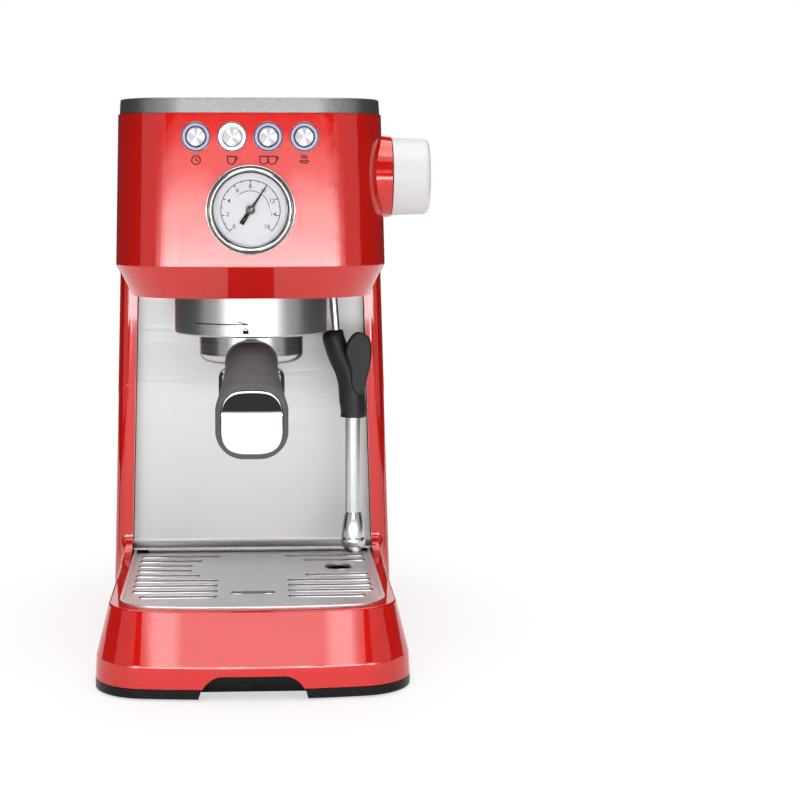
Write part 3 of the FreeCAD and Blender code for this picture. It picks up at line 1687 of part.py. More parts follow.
def control_board():
    """Board on four posts, with a transformer, three relays and a capacitor."""
    back = rear_panel_front - seat_gap
    face = back - control_post
    board = face - control_thickness / 2
    x0, x1 = control_left, control_left + control_width
    z0 = deck_z + control_rise
    z1 = z0 + control_height
    inset = control_post_inset
    solids = [box(x0, x1, face - control_thickness, face, z0, z1)]
    for x in (x0 + inset, x1 - inset):
        for z in (z0 + inset, z1 - inset):
            solids.append(rod(control_post_radius, (x, board, z), (x, back, z)))
    x, z = x0 + transformer_inset, z0 + transformer_low
    solids.append(box(x, x + transformer_width, face - transformer_depth, board, z, z + transformer_height))
    z = z1 - relay_drop
    for index in range(relay_count):
        x = x0 + relay_first + index * relay_pitch
        solids.append(box(x, x + relay_width, face - relay_depth, board, z, z + relay_height))
    x, z = x1 - capacitor_inset, z0 + capacitor_low
    solids.append(rod(capacitor_radius, (x, board, z), (x, face - capacitor_depth, z)))
    return fused(solids)


def at_gland(y):
    return (gland_x, y, gland_z)


def cord_gland():
    y0, y1 = base_back - gland_inside, base_back + gland_outside
    gland = fused([
        rod(gland_radius, at_gland(y0), at_gland(y1)),
        rod(gland_radius + gland_nut, at_gland(y0), at_gland(y0 + gland_nut_length)),
        rod(gland_radius + gland_collar, at_gland(y1 - gland_collar_length), at_gland(y1)),
    ])
    return gland.cut(rod(cord_radius, at_gland(y0 - over), at_gland(y1 + over)))


def screws():
    """Four base screws and the one that holds the shower screen."""
    top = foot_proud + screw_recess - skin_gap
    low = top - screw_head_height
    solids = []
    for x, y in screw_places():
        head = rod(screw_head_radius, (x, y, low), (x, y, top))
        solids.append(fused([head, rod(screw_radius, (x, y, low), (x, y, plate_top + screw_reach))]))
    top = screen_low - screen_head_gap
    low = top - screen_head_height
    head = rod(screen_head_radius, at_group(low), at_group(top))
    solids.append(fused([head, rod(screw_radius, at_group(low), at_group(screen_low + screw_reach))]))
    return Part.makeCompound(solids)


PARTS = {
    "main_housing": main_housing,
    "head_shell": head_shell,
    "top_cover": top_cover,
    "cup_plate": cup_plate,
    "bottom_plate": bottom_plate,
    "rubber_feet": rubber_feet,
    "splash_panel": splash_panel,
    "rear_panel": rear_panel,
    "group_collar": group_collar,
    "group_body": group_body,
    "group_gasket": group_gasket,
    "shower_screen": shower_screen,
    "gauge_bezel": gauge_bezel,
    "gauge_case": gauge_case,
    "gauge_dial": gauge_dial,
    "gauge_lens": gauge_lens,
    "button_bezels": button_bezels,
    "light_rings": light_rings,
    "light_ring_lit": light_ring_lit,
    "button_board": button_board,
    "steam_valve": steam_valve,
    "steam_pipes": steam_pipes,
    "wand_socket": wand_socket,
    "heater_block": heater_block,
    "pump": pump,
    "pump_mounts": pump_mounts,
    "solenoid_valve": solenoid_valve,
    "control_board": control_board,
    "suction_hose": suction_hose,
    "pressure_hose": pressure_hose,
    "water_pipes": water_pipes,
    "inner_frame": inner_frame,
    "tank_seat": tank_seat,
    "cord_gland": cord_gland,
    "screws": screws,
    "portafilter_bowl": portafilter_bowl,
    "filter_basket": filter_basket,
    "basket_spring": basket_spring,
    "portafilter_spout": portafilter_spout,
    "portafilter_neck": portafilter_neck,
    "portafilter_handle": portafilter_handle,
    "handle_end_plate": handle_end_plate,
    "gauge_needle": gauge_needle,
    "steam_knob": steam_knob,
    "knob_shaft": knob_shaft,
    "wand_ball": wand_ball,
    "wand_tube": wand_tube,
    "wand_grip": wand_grip,
    "wand_nozzle": wand_nozzle,
    "water_tank": water_tank,
    "tank_valve": tank_valve,
    "tank_lid": tank_lid,
    "drip_tray": drip_tray,
    "drip_grid": drip_grid,
    "tray_float": tray_float,
    "drip_front": drip_front,
    "button_program": lambda: button_cap(0),
    "button_single": lambda: button_cap(1),
    "button_double": lambda: button_cap(2),
    "button_steam": lambda: button_cap(3),
}

os.makedirs("parts", exist_ok=True)
for name, make in PARTS.items():
    shape = make()
    print(name, "solids", len(shape.Solids), "volume", round(shape.Volume), "valid", shape.isValid())
    shape.exportStep(f"parts/{name}.step")
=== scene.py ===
import logging
import math
from dataclasses import dataclass
from enum import Enum
from functools import cache

import bpy
import numpy as np
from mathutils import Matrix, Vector


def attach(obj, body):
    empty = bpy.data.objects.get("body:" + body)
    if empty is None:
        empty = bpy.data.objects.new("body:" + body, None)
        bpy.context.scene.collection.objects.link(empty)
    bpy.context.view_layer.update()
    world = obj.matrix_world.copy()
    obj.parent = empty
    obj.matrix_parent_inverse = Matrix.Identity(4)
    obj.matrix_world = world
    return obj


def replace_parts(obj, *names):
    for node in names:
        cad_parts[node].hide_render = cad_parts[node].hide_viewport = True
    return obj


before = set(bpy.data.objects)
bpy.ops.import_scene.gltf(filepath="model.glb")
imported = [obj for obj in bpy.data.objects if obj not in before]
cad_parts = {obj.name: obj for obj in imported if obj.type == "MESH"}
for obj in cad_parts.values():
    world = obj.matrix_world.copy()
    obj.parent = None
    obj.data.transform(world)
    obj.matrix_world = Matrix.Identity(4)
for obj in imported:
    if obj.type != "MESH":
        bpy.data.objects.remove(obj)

LOG = logging.getLogger("espresso_machine")
MM = 0.001
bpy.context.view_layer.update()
WHITE = (1.0, 1.0, 1.0, 1.0)
FLOAT = "NodeSocketFloat"
VECTOR = "NodeSocketVector"

Array = np.ndarray
Colour = tuple[float, float, float]
Pair = tuple[float, float]
Pairs = tuple[Pair, ...]
Triple = tuple[float, float, float]
Material = bpy.types.Material
Mesh = bpy.types.Mesh
Node = bpy.types.Node
Socket = bpy.types.NodeSocket
Thing = bpy.types.Object
Tree = bpy.types.NodeTree


class Body(Enum):
    """Bodies that the added pieces ride on."""

    MACHINE = "machine"
    NEEDLE = "needle"
    PORTAFILTER = "portafilter"
    GRID = "grid"


class Wiring:
    """Adds and joins nodes in one shader tree."""

    def __init__(self, tree: Tree) -> None:
        """Keep the tree that nodes go into."""
        self.tree = tree

    def join(self, source: object, target: Socket) -> None:
        """Feed an input.

        Args:
            source: Another socket, or a value.
            target: The input.
        """
        if isinstance(source, Socket):
            self.tree.links.new(source, target)
        else:
            target.default_value = source

    def add(self, kind: str, *values: object, **named: object) -> Node:
        """Add a node.

        Args:
            kind: Blender's node type.
            values: Sockets or values for its first inputs.
            named: Settings of the node itself, or sockets and values for its inputs, with _ for a space.

        Returns:
            The new node.
        """
        node = self.tree.nodes.new(kind)
        for key, value in named.items():
            if hasattr(node, key):
                setattr(node, key, value)
            else:
                self.join(value, node.inputs[key.replace("_", " ")])
        for value, socket in zip(values, node.inputs):
            self.join(value, socket)
        return node

    def number(self, operation: str, *values: object) -> Socket:
        """Add a step of arithmetic."""
        return self.add("ShaderNodeMath", *values, operation=operation).outputs[0]

    def place(self) -> Socket:
        """Object coordinates, in metres in the shared frame."""
        return self.add("ShaderNodeTexCoord").outputs["Object"]

    def tinted(self, low: Colour, high: Colour, mask: Socket) -> Socket:
        """Run a colour from low to high as a mask goes from 0 to 1.

        Args:
            low: Colour where the mask is 0.
            high: Colour where it is 1.
            mask: The mask.

        Returns:
            The colour's socket.
        """
        node = self.add("ShaderNodeMix", mask, data_type="RGBA")
        # The node has a pair of inputs and an output for each type; these are the colours.
        node.inputs[6].default_value = (*low, 1.0)
        node.inputs[7].default_value = (*high, 1.0)
        return node.outputs[2]

    def ramp(self, value: Socket, stops: Pairs) -> Socket:
        """Follow a run of levels with eased steps between them.

        Args:
            value: The value that is looked up.
            stops: Pairs of a value and the level there, in rising order.

        Returns:
            The level's socket.
        """
        places, levels = np.array(stops).T
        spread = self.add("ShaderNodeMapRange", value, From_Min=places[0], From_Max=places[-1])
        node = self.add("ShaderNodeValToRGB", spread.outputs["Result"])
        node.color_ramp.interpolation = "EASE"
        elements = node.color_ramp.elements
        while len(elements) < len(stops):
            elements.new(0.5)
        shares = (places - places[0]) / (places[-1] - places[0])
        for element, share, level in zip(elements, shares, levels / levels.max()):
            element.position = share
            element.color = (level, level, level, 1.0)
        return self.number("MULTIPLY", node.outputs["Color"], levels.max())

    def for_camera(self, other: Node, seen: Node, share: float, out: Node) -> None:
        """Let the camera see one shader where all other rays meet another.

        Args:
            other: The shader that the other rays meet.
            seen: The camera's shader.
            share: How much of it the camera sees.
            out: The tree's output node.
        """
        path = self.add("ShaderNodeLightPath")
        factor = self.number("MULTIPLY", path.outputs["Is Camera Ray"], share)
        mix = self.add("ShaderNodeMixShader", factor, other.outputs[0], seen.outputs[0])
        self.join(mix.outputs[0], out.inputs["Surface"])


class Group(Wiring):
    """A shader node group with a Vector input and the outputs Mask and Height."""

    def __init__(self, name: str, **inputs: str) -> None:
        """Open the group.

        Args:
            name: The group's name.
            inputs: More inputs, each with its socket type.
        """
        super().__init__(bpy.data.node_groups.new(name, "ShaderNodeTree"))
        for key, kind in {"Vector": VECTOR, **inputs}.items():
            self.tree.interface.new_socket(key, in_out="INPUT", socket_type=kind)
        for key in ("Mask", "Height"):
            self.tree.interface.new_socket(key, in_out="OUTPUT", socket_type=FLOAT)
        self.given = self.add("NodeGroupInput").outputs

    def vector(self, operation: str, *values: Socket) -> Socket:
        """Add a step of vector arithmetic."""
        node = self.add("ShaderNodeVectorMath", *values, operation=operation)
        return node.outputs["Value" if operation == "LENGTH" else "Vector"]

    def away(self) -> Socket:
        """The way from the input Centre, in the plane that the input Across keeps."""
        moved = self.vector("SUBTRACT", self.given["Vector"], self.given["Centre"])
        return self.vector("MULTIPLY", moved, self.given["Across"])

    def close(self, pattern: Socket, low: float, high: float) -> Tree:
        """Send a raw pattern out as it is, and as a mask.

        Args:
            pattern: The raw pattern.
            low: Its value where the mask is 0.
            high: Its value where the mask is 1.

        Returns:
            The finished group.
        """
        mask = self.add("ShaderNodeMapRange", pattern, From_Min=low, From_Max=high)
        self.add("NodeGroupOutput", mask.outputs["Result"], pattern)
        return self.tree

    def fractal(self, place: Socket, low: float, high: float, **settings: object) -> Tree:
        """Close the group with fractal noise, at the group's own Scale if it has one.

        Args:
            place: What the noise depends on: a vector, or a length where the settings ask for 1D noise.
            low: The noise's value where the mask is 0.
            high: Its value where the mask is 1.
            settings: The noise's settings.

        Returns:
            The finished group.
        """
        noise = self.add("ShaderNodeTexNoise", Scale=self.given.get("Scale", 1.0), **settings)
        self.join(place, noise.inputs["W" if "noise_dimensions" in settings else "Vector"])
        return self.close(noise.outputs[0], low, high)


class Effects:
    """Shader node groups that several finishes share, each built once."""

    @staticmethod
    @cache
    def grain() -> Tree:
        """Fine even grain: fractal noise at a given scale."""
        group = Group("moulded grain", Scale=FLOAT)
        return group.fractal(group.given["Vector"], low=0.3, high=0.7, Detail=5.0, Roughness=0.6)

    @staticmethod
    @cache
    def handling() -> Tree:
        """Faint handling marks: broad noise that only changes the gloss.

        Returns:
            The group.
        """
        group = Group("handling marks", Scale=FLOAT)
        broad = {"Detail": 3.0, "Roughness": 0.5, "Distortion": 0.6}
        return group.fractal(group.given["Vector"], low=0.4, high=0.65, **broad)

    @staticmethod
    @cache
    def brushed() -> Tree:
        """Brush lines: noise that is drawn out by a different scale along each axis.

        Returns:
            The group.
        """
        group = Group("brush lines", Stretch=VECTOR)
        drawn = group.vector("MULTIPLY", group.given["Vector"], group.given["Stretch"])
        return group.fractal(drawn, low=0.32, high=0.68, Detail=6.0, Roughness=0.72)

    @staticmethod
    @cache
    def spun() -> Tree:
        """Turning marks: noise of the distance from an axis, which the Across vector leaves out.

        Returns:
            The group.
        """
        group = Group("turning marks", Centre=VECTOR, Across=VECTOR, Scale=FLOAT)
        radius = group.vector("LENGTH", group.away())
        return group.fractal(radius, low=0.3, high=0.7, noise_dimensions="1D", Detail=3.0, Roughness=0.6)

    @staticmethod
    @cache
    def streaks() -> Tree:
        """Painted sheen: rays from an axis, noise of the direction away from it, standing in for the
        highlights of spun metal.

        Returns:
            The group.
        """
        group = Group("painted sheen rays", Centre=VECTOR, Across=VECTOR, Scale=FLOAT)
        way = group.vector("NORMALIZE", group.away())
        return group.fractal(way, low=0.35, high=0.65, Detail=2.0, Roughness=0.5)

    @staticmethod
    @cache
    def flakes() -> Tree:
        """Metal flakes: one random value for each cell of a fine Voronoi pattern.

        Returns:
            The group.
        """
        group = Group("paint flakes", Scale=FLOAT)
        cells = group.add("ShaderNodeTexVoronoi", Vector=group.given["Vector"], Scale=group.given["Scale"])
        split = group.add("ShaderNodeSeparateColor", cells.outputs["Color"])
        return group.close(split.outputs[0], low=0.0, high=1.0)


def grey(level: float) -> Colour:
    """A neutral colour."""
    return (level, level, level)


def shade(colour: Colour, factor: float) -> Colour:
    """A colour made darker or lighter by a factor."""
    return tuple(min(1.0, c * factor) for c in colour)


class Coating:
    """One material's tree while a finish is laid on it."""

    def __init__(self, material: Material, finish: "Finish") -> None:
        """Keep the finish, the material's wiring, its shader's inputs and its Object coordinates.

        Args:
            material: The material.
            finish: The finish that it gets.
        """
        self.finish = finish
        self.wire = Wiring(material.node_tree)
        self.inputs = material.node_tree.nodes["Principled BSDF"].inputs
        self.spot = self.wire.place()

    def lay(
        self, tree: Tree, tone: float = 0.0, gloss: float = 0.0, below: float = 0.5,
        depth: float = 0.0, strength: float = 0.0, **values: object,
    ) -> Socket:
        """Let a shared group change the material wherever a share, a run or a depth is given.

        Args:
            tree: The group.
            tone: Share by which the finish's colour gets darker and lighter with the mask.
            gloss: How far the roughness runs with the mask.
            below: Share of that run that lies below the finish's own roughness.
            depth: How far the height raises the surface, in millimetres.
            strength: How much of that the shader shows.
            values: Values of the group's own inputs.

        Returns:
            The group's mask.
        """
        node = self.wire.add("ShaderNodeGroup", node_tree=tree, Vector=self.spot, **values)
        mask = node.outputs["Mask"]
        if tone:
            low, high = (shade(self.finish.colour, factor) for factor in (1 - tone, 1 + tone))
            self.wire.join(self.wire.tinted(low, high, mask), self.inputs["Base Color"])
        if gloss:
            rough = self.wire.number("MULTIPLY_ADD", mask, gloss, self.finish.roughness - below * gloss)
            self.wire.join(rough, self.inputs["Roughness"])
        if depth:
            height = node.outputs["Height"]
            bump = self.wire.add("ShaderNodeBump", Strength=strength, Distance=depth * MM, Height=height)
            self.wire.join(bump.outputs["Normal"], self.inputs["Normal"])
        return mask


@dataclass(frozen=True)
class Finish:
    """A plain finish with faint handling marks, and the base of the others."""

    name: str
    colour: Colour
    roughness: float
    metallic: float = 0.0
    coat: float = 0.0
    coat_roughness: float = 0.05
    coat_index: float = 1.5
    specular: float = 0.5

    def material(self) -> Material:
        """Make the finish's material on the first call and keep it.

        Returns:
            The material.
        """
        found = bpy.data.materials.get(self.name)
        if found:
            return found
        made = bpy.data.materials.new(self.name)
        made.use_nodes = True
        made.diffuse_color = (*self.colour, 1.0)
        coating = Coating(made, self)
        plain = {
            "Base Color": (*self.colour, 1.0),
            "Roughness": self.roughness,
            "Metallic": self.metallic,
            "Coat Weight": self.coat,
            "Coat Roughness": self.coat_roughness,
            "Coat IOR": self.coat_index,
            "Specular IOR Level": self.specular,
        }
        for key, value in plain.items():
            coating.inputs[key].default_value = value
        self.detail(coating)
        return made

    def detail(self, coating: Coating) -> None:
        """Vary the gloss by handling marks and the tone by a breath of grain."""
        coating.lay(Effects.handling(), gloss=0.02, below=0.0, Scale=35.0)
        coating.lay(Effects.grain(), tone=0.04, Scale=240.0)


@dataclass(frozen=True)
class FlakePaint(Finish):
    """Metallic paint under a clear coat: flakes change the tone, and the coat has a slight peel."""

    flake_scale: float = 4200.0
    flake_spread: float = 0.14
    peel_depth: float = 0.012

    def detail(self, coating: Coating) -> None:
        """Lay on flakes in tone and gloss, and the peel of the coat."""
        coating.lay(Effects.flakes(), tone=self.flake_spread, gloss=0.1, Scale=self.flake_scale)
        coating.lay(Effects.grain(), depth=self.peel_depth, strength=0.25, Scale=420.0)


@dataclass(frozen=True)
class BrushedMetal(Finish):
    """Metal with brush lines along one direction."""

    metallic: float = 1.0
    stretch: Triple = (6.0, 2200.0, 2200.0)
    contrast: float = 0.1
    line_depth: float = 0.01
    gloss_spread: float = 0.16

    def detail(self, coating: Coating) -> None:
        """Lay on lines in tone, gloss and height."""
        amounts = {"tone": self.contrast, "gloss": self.gloss_spread, "depth": self.line_depth}
        coating.lay(Effects.brushed(), strength=0.35, Stretch=self.stretch, **amounts)


@dataclass(frozen=True)
class TurnedCap(Finish):
    """Faced-off metal disc: turning marks in gloss and height, rays of painted sheen from the middle in tone.
    """

    metallic: float = 1.0
    centre: Triple = (0.0, 0.0, 0.0)

    def detail(self, coating: Coating) -> None:
        """Lay on rings, and rays of painted sheen, about an axis along y.

        Args:
            coating: The material being made.
        """
        axis = {"Centre": self.centre, "Across": (1.0, 0.0, 1.0)}
        coating.lay(Effects.spun(), gloss=0.1, depth=0.02, strength=0.4, Scale=9000.0, **axis)
        # Rays in the colour paint the sheen of spun metal.
        coating.lay(Effects.streaks(), tone=0.4, Scale=1.6, **axis)


@dataclass(frozen=True)
class Moulded(Finish):
    """Plastic, rubber or cast metal with an even grain."""

    grain_scale: float = 1500.0
    grain_depth: float = 0.03
    spread: float = 0.1

    def detail(self, coating: Coating) -> None:
        """Lay on grain in height and tone, and handling marks in the gloss."""
        coating.lay(
            Effects.grain(), tone=self.spread, depth=self.grain_depth, strength=0.3, Scale=self.grain_scale
        )
        coating.lay(Effects.handling(), gloss=0.08, Scale=40.0)


@dataclass(frozen=True)
class ClearPlastic(Finish):
    """See-through plastic or glass."""

    index: float = 1.49

    def detail(self, coating: Coating) -> None:
        """Let light through, with handling marks in the gloss.

        Args:
            coating: The material being made.
        """
        coating.inputs["Transmission Weight"].default_value = 1.0
        coating.inputs["IOR"].default_value = self.index
        coating.lay(Effects.handling(), gloss=0.02, below=0.0, Scale=50.0)


@dataclass(frozen=True)
class LitPlastic(Moulded):
    """Frosted plastic with a lamp behind it."""

    glow: Colour = grey(1.0)
    power: float = 1.0
    mottle_low: float = 0.85

    def detail(self, coating: Coating) -> None:
        """Lay on grain, and a glow that the grain mottles.

        Args:
            coating: The material being made.
        """
        super().detail(coating)
        mottle = coating.lay(Effects.grain(), Scale=500.0)
        glow = coating.wire.tinted(shade(self.glow, self.mottle_low), self.glow, mottle)
        coating.wire.join(glow, coating.inputs["Emission Color"])
        coating.inputs["Emission Strength"].default_value = self.power


RED_PAINT = FlakePaint(
    "red flake paint", (0.50, 0.007, 0.004), 0.42, metallic=0.3,
    coat=1.0, coat_roughness=0.03, coat_index=1.6, specular=0.0,
)
GREY_COVER = FlakePaint(
    "grey speckled cover", grey(0.27), 0.33, metallic=0.9,
    flake_scale=2400.0, flake_spread=0.16, peel_depth=0.02,
)
PANEL_STEEL = BrushedMetal("panel steel", grey(0.42), 0.46, contrast=0.07)
GRID_STEEL = BrushedMetal(
    "grid steel", (0.92, 0.92, 0.93), 0.40, stretch=(10.0, 1500.0, 1500.0), contrast=0.06
)
COLLAR_STEEL = BrushedMetal(
    "collar steel", grey(0.46), 0.3, stretch=(8.0, 8.0, 2600.0),
    contrast=0.05, line_depth=0.001, gloss_spread=0.05,
)
SHEET_STEEL = BrushedMetal(
    "plain sheet steel", (0.55, 0.55, 0.56), 0.35, stretch=(1500.0, 12.0, 1500.0),
    contrast=0.05, gloss_spread=0.06,
)
TUBE_STEEL = BrushedMetal("tube steel", grey(0.52), 0.2, stretch=(300.0, 300.0, 20.0), contrast=0.04)
BOWL_STEEL = BrushedMetal("bowl steel", grey(0.50), 0.22, stretch=(8.0, 8.0, 2000.0), gloss_spread=0.06)
CHROME = Finish("bright chrome", (0.84, 0.84, 0.85), 0.05, metallic=1.0)
MIRROR = Finish("mirror polish", (0.84, 0.84, 0.85), 0.0, metallic=1.0)
NICKEL = Finish("satin nickel", grey(0.46), 0.3, metallic=1.0)
GUNMETAL = Finish("gunmetal", grey(0.10), 0.35, metallic=1.0)
RIM_STEEL = Finish("polished rim steel", (0.60, 0.60, 0.61), 0.08, metallic=1.0)
DARK_RIM = Finish("dark ring", (0.035, 0.03, 0.06), 0.2, metallic=0.6)
CAST_ALUMINIUM = Moulded(
    "cast aluminium", (0.52, 0.52, 0.53), 0.5, metallic=1.0, grain_scale=700.0, grain_depth=0.15
)
BRASS = Moulded("machined brass", (0.68, 0.49, 0.22), 0.32, metallic=1.0, grain_scale=900.0)
BLACK_PLASTIC = Moulded("black plastic", (0.016, 0.016, 0.017), 0.38)
PLATE_PLASTIC = Moulded("black base plastic", (0.006, 0.006, 0.007), 0.3, specular=0.15, grain_depth=0.015)
NECK_PLASTIC = Moulded("neck plastic", (0.010, 0.010, 0.011), 0.3, grain_depth=0.01)
HANDLE_PLASTIC = Moulded(
    "handle plastic", (0.088, 0.094, 0.096), 0.5, specular=0.06, grain_scale=2200.0, grain_depth=0.012
)
KNOB_PLASTIC = Moulded(
    "white knob plastic", (0.56, 0.56, 0.555), 0.42, grain_scale=2200.0, grain_depth=0.012, spread=0.02
)
FLOAT_PLASTIC = Moulded("red float plastic", (0.55, 0.03, 0.02), 0.35)
GRIP_RUBBER = Moulded(
    "grip rubber", (0.008, 0.008, 0.009), 0.42, specular=0.3, grain_scale=1800.0, grain_depth=0.04
)
FOOT_RUBBER = Moulded("foot rubber", grey(0.02), 0.7, grain_scale=900.0, grain_depth=0.08)
SILICONE = Moulded("milky silicone", (0.72, 0.71, 0.68), 0.4, grain_depth=0.02)
GAUGE_GLASS = ClearPlastic("gauge glass", grey(1.0), 0.0, index=1.1)
TANK_PLASTIC = ClearPlastic("smoked tank plastic", (0.62, 0.63, 0.65), 0.06)
DIAL_WHITE = Moulded(
    "dial white", (0.66, 0.66, 0.69), 0.5, specular=0.15, grain_scale=1600.0, grain_depth=0.005, spread=0.03
)
RING_FROST = Moulded("frosted ring", (0.36, 0.36, 0.50), 0.22, grain_depth=0.01, spread=0.04)
RING_LIT = LitPlastic("lit ring", (0.95, 0.96, 0.94), 0.3, glow=(1.0, 1.0, 0.96), power=1.1, grain_depth=0.01)
BOARD_GREEN = Moulded("circuit board", (0.03, 0.16, 0.07), 0.4, grain_scale=600.0, spread=0.3)
BLACK_LACQUER = Moulded("black lacquer", grey(0.006), 0.35, specular=0.2, grain_depth=0.005)
NAVY = Moulded("navy groove", (0.02, 0.035, 0.16), 0.25, grain_depth=0.01)
PRINT_INK = Moulded(
    "print ink", (0.012, 0.010, 0.012), 0.7, specular=0.15, grain_scale=3000.0, grain_depth=0.004
)
FLOOR_WHITE = Moulded(
    "pale floor", grey(0.9), 0.7, specular=0.1, grain_scale=60.0, grain_depth=0.02, spread=0.01
)


def show(name: str, data: bpy.types.ID) -> Thing:
    """Put a new object into the scene.

    Args:
        name: Its name.
        data: Its mesh, light or camera.

    Returns:
        The object.
    """
    made = bpy.data.objects.new(name, data)
    bpy.context.scene.collection.objects.link(made)
    return made


def dress(finish: Finish, *nodes: str) -> None:
    """Give CAD nodes a finish.

    Args:
        finish: The finish.
        nodes: Names of the nodes.
    """
    for name in nodes:
        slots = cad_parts[name].data.materials
        slots.clear()
        slots.append(finish.material())
        LOG.info("dressed %s with %s", name, finish.name)


def add_piece(mesh: Mesh, finish: Finish, body: Body) -> Thing:
    """Put a finished mesh into the scene under its own name.

    Args:
        mesh: The mesh, in place in the shared frame.
        finish: Its finish.
        body: The body it rides on.

    Returns:
        The new object.
    """
    mesh.materials.clear()
    mesh.materials.append(finish.material())
    piece = show(mesh.name, mesh)
    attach(piece, body.value)
    LOG.info("added %s on %s: %d faces", mesh.name, body.value, len(mesh.polygons))
    return piece


def mesh_of(name: str, points: Array, corners: Array, starts: Array) -> Mesh:
    """Mesh of points and faces given as whole arrays.

    Args:
        name: The mesh's name.
        points: Points in metres, shaped (n, 3).
        corners: Point numbers of every face's corners, one face after another.
        starts: Where each face starts among the corners.

    Returns:
        The mesh, shaded smooth.
    """
    mesh = bpy.data.meshes.new(name)
    mesh.vertices.add(len(points))
    mesh.vertices.foreach_set("co", points.reshape(-1))
    mesh.loops.add(len(corners))
    mesh.loops.foreach_set("vertex_index", corners)
    mesh.polygons.add(len(starts))
    mesh.polygons.foreach_set("loop_start", starts)
    mesh.polygons.foreach_set("use_smooth", np.full(len(starts), True))
    mesh.update(calc_edges=True)
    mesh.validate()
    return mesh


def grid_mesh(name: str, sheets: Array, wrap: bool = False, loop: bool = False, cap: bool = False) -> Mesh:
    """Mesh of one or more grids of points, with a quad between each four neighbours.

    Args:
        name: The mesh's name.
        sheets: Points in metres, shaped (sheets, rows, columns, 3).
        wrap: Whether the last column joins the first.
        loop: Whether the last row joins the first.
        cap: Whether the first and last rows are closed by a face.

    Returns:
        The mesh.
    """
    count, rows, columns, _ = sheets.shape
    index = np.arange(count * rows * columns).reshape(count, rows, columns)
    ends = np.concatenate([index[:, -1], index[:, 0, ::-1]]) if cap else index[:0, 0]
    if wrap:
        index = np.concatenate([index, index[:, :, :1]], axis=2)
    if loop:
        index = np.concatenate([index, index[:, :1]], axis=1)
    quads = [index[:, :-1, :-1], index[:, :-1, 1:], index[:, 1:, 1:], index[:, 1:, :-1]]
    sides = np.stack(quads, axis=-1).reshape(-1)
    corners = np.concatenate([sides, ends.reshape(-1)])
    starts = np.concatenate([np.arange(0, len(sides), 4), np.arange(len(sides), len(corners), columns)])
    return mesh_of(name, sheets.reshape(-1, 3), corners, starts)


def read_out(items: bpy.types.bpy_prop_collection, key: str, kind: type, width: int = 1) -> Array:
    """Read one value of every item in a mesh's collection.

    Args:
        items: The collection.
        key: The value's name.
        kind: Its number type.
        width: How many numbers it has.

    Returns:
        All the numbers, in one flat array.
    """
    values = np.empty(len(items) * width, dtype=kind)
    items.foreach_get(key, values)
    return values


def joined(name: str, meshes: list[Mesh]) -> Mesh:
    """One mesh of several, which are then removed.

    Args:
        name: The new mesh's name.
        meshes: The meshes.

    Returns:
        The joined mesh.
    """
    points, corners, starts, first, corner = [], [], [], 0, 0
    for mesh in meshes:
        points.append(read_out(mesh.vertices, "co", np.float32, 3).reshape(-1, 3))
        corners.append(read_out(mesh.loops, "vertex_index", np.int32) + first)
        starts.append(read_out(mesh.polygons, "loop_start", np.int32) + corner)
        first, corner = first + len(mesh.vertices), corner + len(mesh.loops)
        bpy.data.meshes.remove(mesh)
    return mesh_of(name, np.concatenate(points), np.concatenate(corners), np.concatenate(starts))


def printed(name: str, bands: list[Array]) -> Mesh:
    """One flat mesh of several bands, each shaped (n, 2, 3) in metres."""
    return joined(name, [grid_mesh("band", band[None]) for band in bands])


def in_frame(x: Array, y: Array | float, z: Array | float) -> Array:
    """Points in metres from coordinates in millimetres, which need not all have the same shape."""
    return np.stack(np.broadcast_arrays(x, y, z), axis=-1) * MM


def turned(shape: Pairs, base: float, centre: Pair, count: int = 96, rounds: int = 2) -> Array:
    """Lathe surface about an axis along y: each profile point goes round the centre at its radius.

    The profile's corners are rounded first: each is cut at a quarter of its sides, several times over.

    Args:
        shape: Pairs of a radius and a rise off the plane y = base towards the front, from the outside in.
        base: The plane's y, in millimetres like the rest.
        centre: The axis's x and z.
        count: Points round the axis.
        rounds: How often the corners are cut.

    Returns:
        Points in metres shaped (1, n, count, 3), which wrap round.
    """
    profile = np.array(shape) * (1.0, -1.0) + (0.0, base)
    for _ in range(rounds):
        low = 0.75 * profile[:-1] + 0.25 * profile[1:]
        high = 0.25 * profile[:-1] + 0.75 * profile[1:]
        cut = np.stack([low, high], axis=1).reshape(-1, 2)
        profile = np.concatenate([profile[:1], cut, profile[-1:]])
    radius, y = profile.T[..., None]
    turn = np.linspace(2 * np.pi, 0.0, count, endpoint=False)
    x, z = centre[0] + radius * np.sin(turn), centre[1] + radius * np.cos(turn)
    return in_frame(x, y, z)[None]


def powered(value: Array, power: float) -> Array:
    """A power of each value's size, with its sign kept."""
    return np.sign(value) * np.abs(value) ** power


def ribbon(path: Array, width: float) -> Array:
    """Flat band along a path: each point moves half the width along the path's normal, both ways.

    Args:
        path: Points in the plane, shaped (n, 2).
        width: The band's width.

    Returns:
        Points shaped (n, 2, 2): the band's two sides.
    """
    along = np.gradient(path, axis=0)
    along /= np.linalg.norm(along, axis=1, keepdims=True)
    normal = np.stack([-along[:, 1], along[:, 0]], axis=1) * width / 2
    return np.stack([path + normal, path - normal], axis=1)


def arc(radius: float, start: float, end: float, count: int = 48, centre: Pair = (0.0, 0.0)) -> Array:
    """Points on a circle between two angles in degrees, measured from up towards the right."""
    turn = np.radians(np.linspace(start, end, count))
    return np.stack([centre[0] + radius * np.sin(turn), centre[1] + radius * np.cos(turn)], axis=1)


def line(*corners: Pair, count: int = 24) -> Array:
    """Points spaced evenly along a run of straight lines.

    Args:
        corners: The run's corners.
        count: How many points.

    Returns:
        Points shaped (count, 2).
    """
    knots = np.array(corners, float)
    reach = np.concatenate([[0.0], np.cumsum(np.linalg.norm(np.diff(knots, axis=0), axis=1))])
    at = np.linspace(0.0, reach[-1], count)
    return np.stack([np.interp(at, reach, knots[:, k]) for k in (0, 1)], axis=1)


